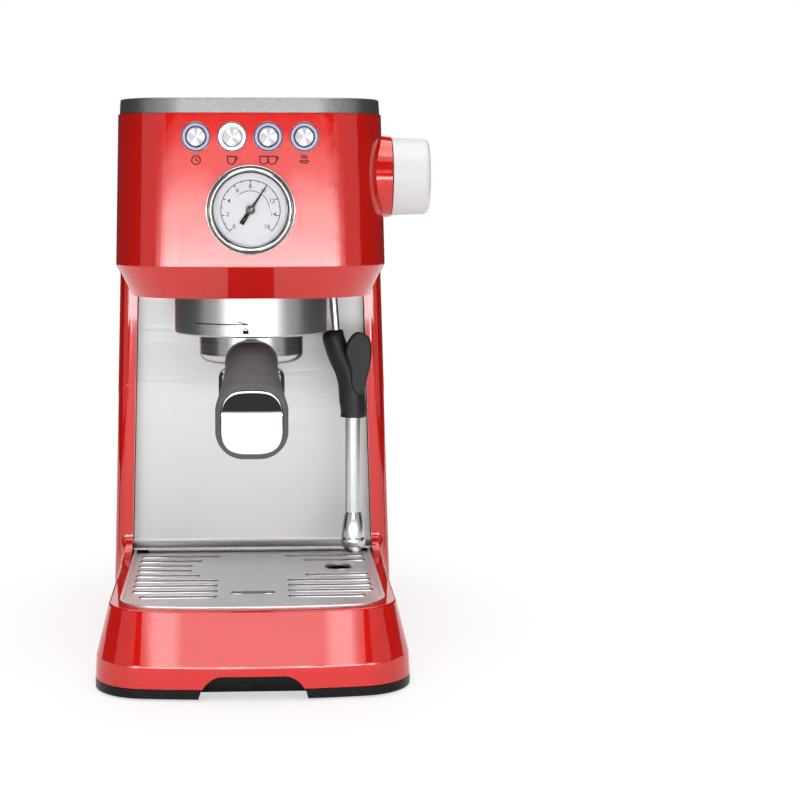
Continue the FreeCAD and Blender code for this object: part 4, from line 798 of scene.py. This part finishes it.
@dataclass
class HeadFront:
    """The bowed front of the head, which carries the gauge and the buttons."""

    front: float = -154.5
    bow: float = 420.0
    proud: float = 0.05

    def depth(self, x: Array) -> Array:
        """Depth of the bowed face: y = front + bow - sqrt(bow^2 - x^2)."""
        return self.front + self.bow - np.sqrt(self.bow ** 2 - x ** 2)

    def wrap(self, flat: Array) -> Array:
        """Lay points of the x-z plane, in millimetres, just before the bowed face."""
        x, z = flat[..., 0], flat[..., 1]
        return in_frame(x, self.depth(x) - self.proud, z)


@dataclass
class Housing:
    """Painted shells, cover, panels and plates that do not move."""

    def dress(self) -> None:
        """Finish every fixed outer node."""
        dress(RED_PAINT, "main_housing", "head_shell")
        dress(GREY_COVER, "top_cover")
        dress(PANEL_STEEL, "splash_panel")
        dress(SHEET_STEEL, "cup_plate", "screws")
        dress(PLATE_PLASTIC, "bottom_plate")
        dress(BLACK_PLASTIC, "rear_panel", "cord_gland", "tank_seat")
        dress(FOOT_RUBBER, "rubber_feet")


@dataclass
class DripTray:
    """Pull-out drawer with its grid and float."""

    top: float = 45.5
    front_row: float = -119.0
    pitch: float = 13.1
    rows: int = 9
    slot_half: float = 2.4
    outer: float = 64.6
    outer_front: float = 59.6
    inner: float = 22.4
    cup_y: float = -46.95
    cup_radius: float = 36.5
    float_place: Pair = (50.5, -46.0)
    float_half: float = 0.05
    float_radius: float = 7.8
    finger_half: float = 9.0
    finger_radius: float = 3.0
    finger_y: float = -109.83
    end_points: int = 14
    rim: Pairs = ((0.0, -0.3), (-0.04, 0.12), (0.12, 0.3), (0.36, 0.28), (0.6, 0.05), (0.62, -0.1))

    def dress(self) -> None:
        """Finish the drawer's nodes."""
        dress(RED_PAINT, "drip_front")
        dress(BLACK_PLASTIC, "drip_tray")
        dress(GRID_STEEL, "drip_grid")
        dress(FLOAT_PLASTIC, "tray_float")

    def slots(self) -> Array:
        """Find every hole in the grid as a slot along x; the float's round hole is a very short one.

        Returns:
            Each hole's two end middles in x, its y and its radius, shaped (holes, 4).
        """
        y = self.front_row + self.pitch * np.arange(self.rows)
        clear = np.sqrt(np.maximum(self.cup_radius ** 2 - (y - self.cup_y) ** 2, 0.0)) + self.slot_half
        inner = np.maximum(self.inner, clear)
        outer = np.where(y == self.front_row, self.outer_front, self.outer)
        half = np.full(self.rows, self.slot_half)
        left = np.stack([-outer, -inner, y, half], axis=1)
        right = np.stack([inner, outer, y, half], axis=1)
        float_x, float_y = self.float_place
        right = right[np.abs(y - float_y) > self.float_radius + self.pitch / 2]
        float_hole = (float_x - self.float_half, float_x + self.float_half, float_y, self.float_radius)
        finger_slot = (-self.finger_half, self.finger_half, self.finger_y, self.finger_radius)
        return np.concatenate([left, right, [float_hole, finger_slot]])

    def slot_rims(self) -> Mesh:
        """Pressed lips round the grid's holes: one small profile carried round each slot's outline.

        The outline goes half round each end: middle of the end + (radius + out) * (cos, sin).

        Returns:
            The mesh.
        """
        holes = self.slots()[:, None, None]
        half = np.linspace(-np.pi / 2, np.pi / 2, self.end_points)
        turn = np.concatenate([half, half + np.pi])
        ends = np.where(np.arange(len(turn)) < self.end_points, holes[..., 1], holes[..., 0])
        out, rise = np.array(self.rim).T[:, None, :, None]
        reach = holes[..., 3] + out
        x, y = ends + reach * np.cos(turn), holes[..., 2] + reach * np.sin(turn)
        points = in_frame(x, y, self.top + rise)[:, ::-1]
        return grid_mesh("slot_rims", points, wrap=True, loop=True)

    def build(self) -> None:
        """Press the lips round the grid's holes."""
        add_piece(self.slot_rims(), CHROME, Body.GRID)


@dataclass
class Gauge:
    """Pressure gauge with its printed dial; rises are off a base plane, towards the front."""

    centre_z: float = 257.5
    dial_y: float = -153.7
    ink_lift: float = 0.04
    scale_radius: float = 15.3
    scale_width: float = 0.4
    start_angle: float = -135.0
    bar_angle: float = 16.875
    top_bar: int = 16
    tick_length: Pair = (1.6, 0.9)
    tick_half: Pair = (0.24, 0.17)
    band_radius: float = 9.8
    band_width: float = 0.32
    band_span: Pair = (-38.0, 86.0)
    margin_radius: float = 17.4
    margin_width: float = 0.14
    number_radius: float = 12.0
    number_size: float = 3.1
    number_weight: float = 0.03
    number_step: int = 2
    needle_angle: float = 33.75
    needle_back: float = -154.1
    needle_front: float = -154.7
    blade: Pairs = ((-8.7, 1.35), (0.0, 0.85), (14.2, 0.25))
    blade_points: int = 40
    hub_y: float = -156.42
    hub: Pairs = ((2.275, -2.3), (2.275, -0.35), (2.135, -0.2), (1.8375, -0.12), (0.035, -0.12))
    hub_cap: Pairs = ((1.575, -0.14), (1.575, 0.06), (1.4, 0.16), (0.9625, 0.2), (0.735, 0.08), (0.035, 0.06))
    hub_points: int = 48
    bezel_back: float = -154.8
    rim: Pairs = (
        (23.1, 0.0), (23.1, 2.4), (22.98, 2.85), (22.75, 2.95), (22.5, 2.75), (22.45, 2.3), (21.75, 2.3),
        (21.68, 3.1), (21.4, 4.0), (20.6, 4.7), (19.8, 4.0), (19.52, 3.1), (19.45, 2.9), (19.1, 2.9),
        (19.04, 3.4), (18.9, 3.3), (18.9, 2.0), (19.2, 0.0),
    )
    # Where the rim's grooves lie; black rings there paint their shade.
    grooves: Pairs = ((22.45, 2.3), (19.45, 2.9))
    groove_width: Pair = (0.7, 0.35)
    groove_lift: float = 0.06

    def dress(self) -> None:
        """Finish the gauge's nodes."""
        dress(CHROME, "gauge_bezel")
        dress(SHEET_STEEL, "gauge_case")
        dress(DIAL_WHITE, "gauge_dial")
        dress(GAUGE_GLASS, "gauge_lens")
        dress(BLACK_LACQUER, "gauge_needle")

    def on_dial(self, flat: Array) -> Array:
        """Lay points of the x-z plane, in millimetres from the gauge's axis, on the dial."""
        return in_frame(flat[..., 0], self.dial_y - self.ink_lift, flat[..., 1] + self.centre_z)

    def ticks(self) -> Array:
        """One short radial band a bar, longer and wider at even bars.

        Returns:
            Bands shaped (bars, 2, 2, 2) in the dial's plane.
        """
        bars = np.arange(self.top_bar + 1)
        turn = np.radians(self.start_angle + bars * self.bar_angle)
        out = np.stack([np.sin(turn), np.cos(turn)], axis=1)
        side = np.stack([-out[:, 1], out[:, 0]], axis=1)
        inner = self.scale_radius - np.where(bars % 2, self.tick_length[1], self.tick_length[0])
        half = np.where(bars % 2, self.tick_half[1], self.tick_half[0])[:, None]
        ends = [out * inner[:, None], out * self.scale_radius]
        return np.stack([np.stack([end + side * half, end - side * half], axis=1) for end in ends], axis=1)

    def number(self, bar: int) -> Mesh:
        """One plain number, set upright inside the scale.

        Args:
            bar: The pressure it stands for.

        Returns:
            Its flat mesh, in place on the dial.
        """
        text = bpy.data.curves.new("number", "FONT")
        text.body, text.size, text.offset = str(bar), self.number_size, self.number_weight
        text.align_x, text.align_y = "CENTER", "CENTER"
        holder = bpy.data.objects.new("number", text)
        mesh = bpy.data.meshes.new_from_object(holder)
        points = read_out(mesh.vertices, "co", np.float32, 3).reshape(-1, 3)
        turn = math.radians(self.start_angle + bar * self.bar_angle)
        shift = self.number_radius * np.array([math.sin(turn), math.cos(turn)])
        mesh.vertices.foreach_set("co", self.on_dial(points[:, :2] + shift).reshape(-1))
        bpy.data.objects.remove(holder)
        bpy.data.curves.remove(text)
        return mesh

    def needle(self) -> Mesh:
        """Flat blade: half its width runs straight from the tail to the hub and on to the tip.

        Returns:
            The mesh, turned to the reading at rest.
        """
        reach, half = np.array(self.blade).T
        along = np.linspace(reach[0], reach[-1], self.blade_points)[:, None]
        across = np.interp(along, reach, half) * np.array([1.0, 1.0, -1.0, -1.0])
        turn = math.radians(self.needle_angle)
        x = along * math.sin(turn) + across * math.cos(turn)
        z = along * math.cos(turn) - across * math.sin(turn) + self.centre_z
        depth = np.array([self.needle_front, self.needle_back, self.needle_back, self.needle_front])
        return grid_mesh("needle_blade", in_frame(x, depth, z)[None], wrap=True, cap=True)

    def boss(self, name: str, shape: Pairs) -> Mesh:
        """Turn a piece of the needle's hub."""
        points = turned(shape, self.hub_y, (0.0, self.centre_z), self.hub_points)
        return grid_mesh(name, points, wrap=True, cap=True)

    def bezel(self) -> Mesh:
        """Stepped rim on the lathe: outer bead, groove, crown, fine groove and the lip round the glass."""
        points = turned(self.rim, self.bezel_back, (0.0, self.centre_z))
        return grid_mesh("gauge_rim", points, wrap=True, loop=True)

    def groove_lines(self) -> Mesh:
        """Black rings on the floors of the rim's two grooves, which paint the shade there: flat rings on the
        lathe.

        Returns:
            The mesh.
        """
        rings = []
        for (outer, low), width in zip(self.grooves, self.groove_width):
            inner, high = outer - width, low + self.groove_lift
            shape = ((outer, low), (outer, high), (inner, high), (inner, low))
            rings.append(turned(shape, self.bezel_back, (0.0, self.centre_z), rounds=0))
        return grid_mesh("gauge_groove_shade", np.concatenate(rings), wrap=True, loop=True)

    def build(self) -> None:
        """Turn the rim, print the scale and make the needle."""
        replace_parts(add_piece(self.bezel(), RIM_STEEL, Body.MACHINE), "gauge_bezel")
        # Black rings that paint the shade in the rim's grooves.
        add_piece(self.groove_lines(), BLACK_LACQUER, Body.MACHINE)
        end_angle = self.start_angle + self.top_bar * self.bar_angle
        scale = ribbon(arc(self.scale_radius, self.start_angle, end_angle, count=120), self.scale_width)
        band = ribbon(arc(self.band_radius, *self.band_span, count=80), self.band_width)
        margin = ribbon(arc(self.margin_radius, 0.0, 360.0, count=121), self.margin_width)
        prints = {"dial_ticks": self.ticks(), "dial_scale": scale[None], "dial_band": band[None]}
        for name, bands in prints.items():
            add_piece(grid_mesh(name, self.on_dial(bands)), PRINT_INK, Body.MACHINE)
        add_piece(grid_mesh("dial_margin", self.on_dial(margin[None])), NICKEL, Body.MACHINE)
        numbers = [self.number(bar) for bar in range(0, self.top_bar + 1, self.number_step)]
        add_piece(joined("dial_numbers", numbers), PRINT_INK, Body.MACHINE)
        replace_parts(add_piece(self.needle(), BLACK_LACQUER, Body.NEEDLE), "gauge_needle")
        add_piece(self.boss("needle_hub", self.hub), BLACK_LACQUER, Body.NEEDLE)
        add_piece(self.boss("needle_hub_cap", self.hub_cap), GUNMETAL, Body.NEEDLE)


@dataclass
class ButtonRow:
    """Four push buttons with rings of light and printed signs."""

    face: HeadFront
    count: int = 4
    pitch: float = 18.55
    height: float = 294.9
    ring_points: int = 64
    sign_drop: float = 11.9
    stroke: float = 0.55
    cup_width: float = 4.2
    cup_top: float = 1.9
    cup_depth: float = 3.9
    cup_power: float = 0.6
    handle_radius: float = 0.85
    handle_gap: float = 0.15
    handle_height: float = 0.9
    single_x: float = -0.4
    double_x: Pair = (-2.3, 2.1)
    timer_radius: float = 2.2
    timer_hands: Pairs = ((0.0, 1.4), (0.0, 0.0), (1.1, -0.6))
    steam_x: Triple = (-1.1, 0.0, 1.1)
    steam_sway: float = 0.25
    steam_foot: float = 0.6
    steam_height: float = 2.0
    dish_radius: float = 3.4
    dish_span: Pair = (132.0, 228.0)
    dish_centre: Pair = (0.0, 1.9)
    dish_rim: Pairs = ((-2.1, -0.3), (2.1, -0.3))
    bead: Pairs = ((7.66, -0.2), (7.66, 0.2), (7.58, 0.36), (7.46, 0.36), (7.38, 0.2), (7.38, -0.2))
    groove: Pairs = ((5.62, 0.7), (5.62, 0.76), (5.4, 0.8), (5.2, 0.76), (5.2, 0.7))
    cap_colour: Colour = (0.32, 0.32, 0.33)
    cap_roughness: float = 0.26

    def places(self) -> Array:
        """X of each button."""
        return (np.arange(self.count) - (self.count - 1) / 2) * self.pitch

    def dress(self) -> None:
        """Finish rims, rings and caps; each cap is turned about its own middle."""
        dress(DARK_RIM, "button_bezels")
        dress(RING_FROST, "light_rings")
        dress(RING_LIT, "light_ring_lit")
        dress(BOARD_GREEN, "button_board")
        caps = ("button_program", "button_single", "button_double", "button_steam")
        for name, x in zip(caps, self.places()):
            centre = (x * MM, 0.0, self.height * MM)
            dress(TurnedCap(f"{name} metal", self.cap_colour, self.cap_roughness, centre=centre), name)

    def cup(self, x: float, handle: bool = True) -> list[Array]:
        """Strokes of a cup: a round-bottomed bowl, its rim and a ring for a handle.

        Args:
            x: Middle of the bowl.
            handle: Whether the cup has a handle.

        Returns:
            Paths in the plane of the sign.
        """
        half, top = self.cup_width / 2, self.cup_top
        turn = np.linspace(-np.pi / 2, np.pi / 2, num=24)
        side = x + half * powered(np.sin(turn), self.cup_power)
        bowl = np.stack([side, top - self.cup_depth * np.cos(turn) ** self.cup_power], axis=1)
        strokes = [bowl, line((x - half, top), (x + half, top))]
        if handle:
            middle = (x + half + self.handle_gap, self.handle_height)
            strokes.append(arc(self.handle_radius, 0.0, 180.0, count=20, centre=middle))
        return strokes

    def signs(self) -> dict[str, list[Array]]:
        """Strokes of the four signs, each about its own middle: timer, one cup, two cups and steam.

        Returns:
            Paths by the sign's name.
        """
        timer = [arc(self.timer_radius, 0.0, 360.0, count=40), line(*self.timer_hands)]
        rise = np.linspace(0.0, self.steam_height, num=20)
        sway = self.steam_sway * np.sin(rise * np.pi)
        waves = [np.stack([x + sway, self.steam_foot + rise], axis=1) for x in self.steam_x]
        bottom = arc(self.dish_radius, *self.dish_span, count=24, centre=self.dish_centre)
        left, right = self.double_x
        return {
            "timer_sign": timer,
            "single_sign": self.cup(self.single_x),
            "double_sign": self.cup(left, handle=False) + self.cup(right),
            "steam_sign": [*waves, bottom, line(*self.dish_rim)],
        }

    def rings(self, name: str, shape: Pairs) -> Mesh:
        """Turn the same profile, (radius, rise off the head's face), round all four buttons."""
        rings = [
            turned(shape, self.face.depth(x), (x, self.height), self.ring_points) for x in self.places()
        ]
        return grid_mesh(name, np.concatenate(rings), wrap=True, loop=True)

    def build(self) -> None:
        """Add bright beads and dark grooves round the buttons and print the signs on the bowed face."""
        add_piece(self.rings("button_beads", self.bead), NICKEL, Body.MACHINE)
        add_piece(self.rings("button_grooves", self.groove), NAVY, Body.MACHINE)
        for x, (name, strokes) in zip(self.places(), self.signs().items()):
            middle = np.array([x, self.height - self.sign_drop])
            bands = [self.face.wrap(ribbon(path, self.stroke) + middle) for path in strokes]
            add_piece(printed(name, bands), PRINT_INK, Body.MACHINE)


@dataclass
class BrewGroup:
    """Collar, group and portafilter; the lock mark's places are along and up the collar's front."""

    axis_y: float = -72.0
    collar_radius: float = 43.0
    ink_lift: float = 0.05
    mark_z: float = 192.0
    arrow: Pairs = ((-34.0, 2.8), (-1.5, 2.8))
    barb: Pairs = ((-7.0, 4.3), (-1.5, 2.8))
    arrow_width: float = 0.65
    shackle_centre: Pair = (-3.0, -0.3)
    shackle_radius: float = 1.0
    shackle_width: float = 0.5
    case: Pairs = ((-4.6, -1.3), (-1.4, -1.3))
    case_height: float = 2.0
    plate_half: Pair = (14.9, 15.35)
    plate_square: float = 3.2
    plate_y: float = -226.1
    plate_z: float = 156.8
    plate_bow: float = 1.57
    plate_turn: float = 0.25
    plate_power: float = 1.12
    plate_edge: Pairs = ((0.985, 0.8), (1.0, 0.6), (0.998, 0.3), (0.992, 0.12), (0.985, 0.04), (0.97, 0.01))
    plate_face: Pair = (0.94, 0.02)
    plate_rings: int = 40
    plate_points: int = 128

    def dress(self) -> None:
        """Finish the group's and the portafilter's nodes."""
        dress(COLLAR_STEEL, "group_collar")
        dress(CAST_ALUMINIUM, "group_body")
        dress(FOOT_RUBBER, "group_gasket")
        dress(SHEET_STEEL, "shower_screen", "filter_basket", "basket_spring")
        dress(BOWL_STEEL, "portafilter_bowl")
        dress(CHROME, "portafilter_spout", "handle_end_plate")
        dress(NECK_PLASTIC, "portafilter_neck")
        dress(HANDLE_PLASTIC, "portafilter_handle")

    def end_plate(self) -> Mesh:
        """Bright plate of the handle's end: a rounded square that leans back towards its top.

        Rings of the superellipse |u|^p + |v|^p = 1 shrink to the middle, with a rolled edge given as pairs of
        a share of the size and a drop. Depth falls with a power of the height above a level over the middle.

        Returns:
            The mesh.
        """
        turn = np.linspace(2 * np.pi, 0.0, self.plate_points, endpoint=False)
        u, v = (powered(wave, 2.0 / self.plate_square) for wave in (np.sin(turn), np.cos(turn)))
        face = np.stack([np.linspace(*self.plate_face, self.plate_rings), np.zeros(self.plate_rings)], axis=1)
        ring, drop = np.concatenate([np.array(self.plate_edge), face]).T[..., None]
        x, z = self.plate_half[0] * ring * u, self.plate_half[1] * ring * v
        lean = np.clip((z / self.plate_half[1] - self.plate_turn) / (1.0 - self.plate_turn), 0.0, 1.0)
        y = self.plate_y - self.plate_bow * (1.0 - lean ** self.plate_power) + drop
        points = in_frame(x, y, z + self.plate_z)[None]
        return grid_mesh("bowed_end_plate", points, wrap=True, cap=True)

    def on_collar(self, flat: Array) -> Array:
        """Wrap a strip round the front of the collar.

        Args:
            flat: Points (arc length, height) in millimetres.

        Returns:
            Points in metres in the shared frame.
        """
        turn = flat[..., 0] / self.collar_radius
        radius = self.collar_radius + self.ink_lift
        x, y = radius * np.sin(turn), self.axis_y - radius * np.cos(turn)
        return in_frame(x, y, flat[..., 1] + self.mark_z)

    def build(self) -> None:
        """Bow the end plate and print the arrow that shows which way the portafilter locks."""
        plate = add_piece(self.end_plate(), MIRROR, Body.PORTAFILTER)
        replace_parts(plate, "handle_end_plate")
        shackle = arc(self.shackle_radius, -90.0, 90.0, count=20, centre=self.shackle_centre)
        bands = [
            ribbon(line(*self.arrow, count=60), self.arrow_width),
            ribbon(line(*self.barb, count=12), self.arrow_width),
            ribbon(shackle, self.shackle_width),
            ribbon(line(*self.case), self.case_height),
        ]
        mark = printed("lock_mark", [self.on_collar(band) for band in bands])
        add_piece(mark, PRINT_INK, Body.MACHINE)


@dataclass
class SteamSide:
    """Knob, valve and wand."""

    def dress(self) -> None:
        """Finish the steam side's nodes."""
        dress(KNOB_PLASTIC, "steam_knob")
        dress(SHEET_STEEL, "knob_shaft", "steam_pipes", "water_pipes")
        dress(BRASS, "steam_valve", "solenoid_valve")
        dress(CHROME, "wand_ball", "wand_socket")
        dress(TUBE_STEEL, "wand_tube", "wand_nozzle")
        dress(GRIP_RUBBER, "wand_grip")


@dataclass
class WaterSide:
    """Tank, pump, heater and hoses."""

    def dress(self) -> None:
        """Finish the water side's nodes."""
        dress(TANK_PLASTIC, "water_tank")
        dress(BLACK_PLASTIC, "tank_lid", "tank_valve", "pump")
        dress(FOOT_RUBBER, "pump_mounts")
        dress(SILICONE, "suction_hose", "pressure_hose")
        dress(CAST_ALUMINIUM, "heater_block")
        dress(BOARD_GREEN, "control_board")
        dress(SHEET_STEEL, "inner_frame")


def aim(thing: Thing, place: Triple, ahead: Vector) -> None:
    """Put a camera or a light in its place, facing ahead."""
    thing.location = place
    thing.rotation_euler = ahead.to_track_quat("-Z", "Y").to_euler()


@dataclass(frozen=True)
class Panel:
    """One soft light, in metres; its glow is its brightness as seen in a mirror."""

    name: str
    place: Triple
    size: Pair
    glow: float
    target: Triple = (0.0, 0.0, 0.16)

    def hang(self) -> None:
        """Put the light into the scene, pointing at its target."""
        width, height = self.size
        data = bpy.data.lights.new(self.name, "AREA")
        data.shape, data.size, data.size_y = "RECTANGLE", width, height
        data.energy = self.glow * math.pi * width * height
        lamp = show(self.name, data)
        aim(lamp, self.place, Vector(self.target) - Vector(self.place))
        lamp.visible_camera = False


@dataclass
class Studio:
    """Floor, lights and the camera at the photograph's place, in metres."""

    camera_place: Triple = (0.0, -1.08853, 0.27695)
    lens: float = 81.0
    sensor: float = 36.0
    shift: float = 0.0775
    pitch_down: float = 7.22
    yaw_right: float = 2.767
    floor_half: float = 0.8
    floor_back: float = 1.2
    floor_white: float = 0.6
    sheet_points: int = 9
    wall_y: float = -2.3
    low_heights: Pairs = ((0.002, 12.5), (0.1, 12.0), (0.2, 7.3), (0.3, 2.6), (0.37, 0.7), (0.4, 0.02))
    low_sides: Pairs = (
        (0.0, 0.85), (0.7, 1.0), (1.4, 0.95), (1.75, 0.6), (2.1, 0.2), (2.6, 0.1), (2.7, 0.0),
    )
    high_heights: Pairs = ((0.6, 0.02), (0.68, 4.2), (0.92, 4.2), (1.05, 1.4), (1.2, 0.0))
    high_sides: Pairs = (
        (0.0, 0.75), (0.5, 0.75), (0.61, 1.45), (0.71, 1.45), (0.8, 0.4), (0.86, 0.1), (0.92, 0.0),
    )
    fill: float = 0.04
    sun_power: float = 3.2
    sun_spread: float = 70.0
    panels: tuple[Panel, ...] = (
        Panel("overhead_panel", place=(0.0, -0.9, 1.6), size=(1.2, 0.9), glow=1.5, target=(0.0, -0.1, 0.1)),
        Panel("left_front_panel", place=(-1.6, -1.1, 0.55), size=(1.5, 1.3), glow=0.6),
        Panel("right_front_panel", place=(1.6, -1.1, 0.55), size=(1.5, 1.3), glow=0.6),
        Panel("back_panel", place=(0.0, 2.0, 0.9), size=(1.4, 1.0), glow=1.2),
    )

    def camera(self) -> None:
        """Place the camera."""
        data = bpy.data.cameras.new("camera")
        data.lens, data.sensor_width, data.shift_x = self.lens, self.sensor, self.shift
        pitch, yaw = math.radians(self.pitch_down), math.radians(self.yaw_right)
        level = math.cos(pitch)
        ahead = Vector((math.sin(yaw) * level, math.cos(yaw) * level, -math.sin(pitch)))
        camera = show("camera", data)
        aim(camera, self.camera_place, ahead)
        bpy.context.scene.camera = camera

    def sheet(self, name: str, corner: Triple, across: Triple, up: Triple, material: Material) -> Thing:
        """Add a flat stage sheet: corner + s * across + t * up.

        Args:
            name: Its name.
            corner: One corner.
            across: The first side.
            up: The second side.
            material: Its material.

        Returns:
            The stage object.
        """
        share = np.linspace(0.0, 1.0, self.sheet_points)[:, None]
        points = np.array(corner) + share * np.array(across) + share[:, None] * np.array(up)
        mesh = grid_mesh(name, points[None])
        mesh.materials.append(material)
        made = show(name, mesh)
        return made

    def floor(self) -> None:
        """Lay a wide pale floor at z = 0, which the camera sees nearly as white as the backdrop."""
        material = FLOOR_WHITE.material()
        across, back = (2 * self.floor_half, 0.0, 0.0), (0.0, self.floor_back - self.wall_y, 0.0)
        self.sheet("floor", (-self.floor_half, self.wall_y, 0.0), across, back, material)
        wire = Wiring(material.node_tree)
        white = wire.add("ShaderNodeEmission", Color=WHITE, Strength=1.0)
        nodes = material.node_tree.nodes
        wire.for_camera(nodes["Principled BSDF"], white, self.floor_white, nodes["Material Output"])

    def light_wall(self, name: str, heights: Pairs, sides: Pairs) -> None:
        """Hang a wall of light before the machine: its glow is a run of heights times a run of sides.

        Args:
            name: Its name.
            heights: Pairs of a height and the glow there.
            sides: Pairs of a distance from the middle and the share of the glow there.
        """
        glow = bpy.data.materials.new(name)
        glow.use_nodes = True
        glow.node_tree.nodes.clear()
        wire = Wiring(glow.node_tree)
        spot = wire.add("ShaderNodeSeparateXYZ", wire.place())
        aside = wire.number("ABSOLUTE", spot.outputs["X"])
        power = wire.number("MULTIPLY", wire.ramp(spot.outputs["Z"], heights), wire.ramp(aside, sides))
        lamp = wire.add("ShaderNodeEmission", Color=WHITE, Strength=power)
        wire.add("ShaderNodeOutputMaterial", lamp.outputs[0])
        (low, _), (high, _), (half, _) = heights[0], heights[-1], sides[-1]
        across, up = (-2 * half, 0.0, 0.0), (0.0, 0.0, high - low)
        wall = self.sheet(name, (half, self.wall_y, low), across, up, glow)
        wall.visible_camera = False

    def sun(self) -> None:
        """Light the floor evenly from straight above through a wide diffuser."""
        data = bpy.data.lights.new("overhead", "SUN")
        data.energy, data.angle = self.sun_power, math.radians(self.sun_spread)
        show("overhead", data)

    def world(self) -> None:
        """White backdrop for the eye, a little grey fill for the light."""
        world = bpy.data.worlds.new("studio")
        bpy.context.scene.world = world
        world.use_nodes = True
        wire = Wiring(world.node_tree)
        fill = world.node_tree.nodes["Background"]
        fill.inputs["Color"].default_value = WHITE
        fill.inputs["Strength"].default_value = self.fill
        backdrop = wire.add("ShaderNodeBackground", Color=WHITE, Strength=1.0)
        wire.for_camera(fill, backdrop, share=1.0, out=world.node_tree.nodes["World Output"])

    def build(self) -> None:
        """Set up the whole studio."""
        self.camera()
        self.floor()
        self.light_wall("low_light_wall", self.low_heights, self.low_sides)
        self.light_wall("high_light_wall", self.high_heights, self.high_sides)
        self.sun()
        self.world()
        for panel in self.panels:
            panel.hang()
        bpy.context.scene.view_settings.view_transform = "Standard"


def main() -> None:
    """Dress the frame, add the printed and turned details and set up the studio."""
    logging.basicConfig(level=logging.INFO, format="%(name)s: %(message)s")
    Studio().build()
    tray, gauge, buttons, group = DripTray(), Gauge(), ButtonRow(HeadFront()), BrewGroup()
    for part in (Housing(), tray, gauge, buttons, group, SteamSide(), WaterSide()):
        part.dress()
    for part in (tray, gauge, buttons, group):
        part.build()


if __name__ == "__main__":
    main()
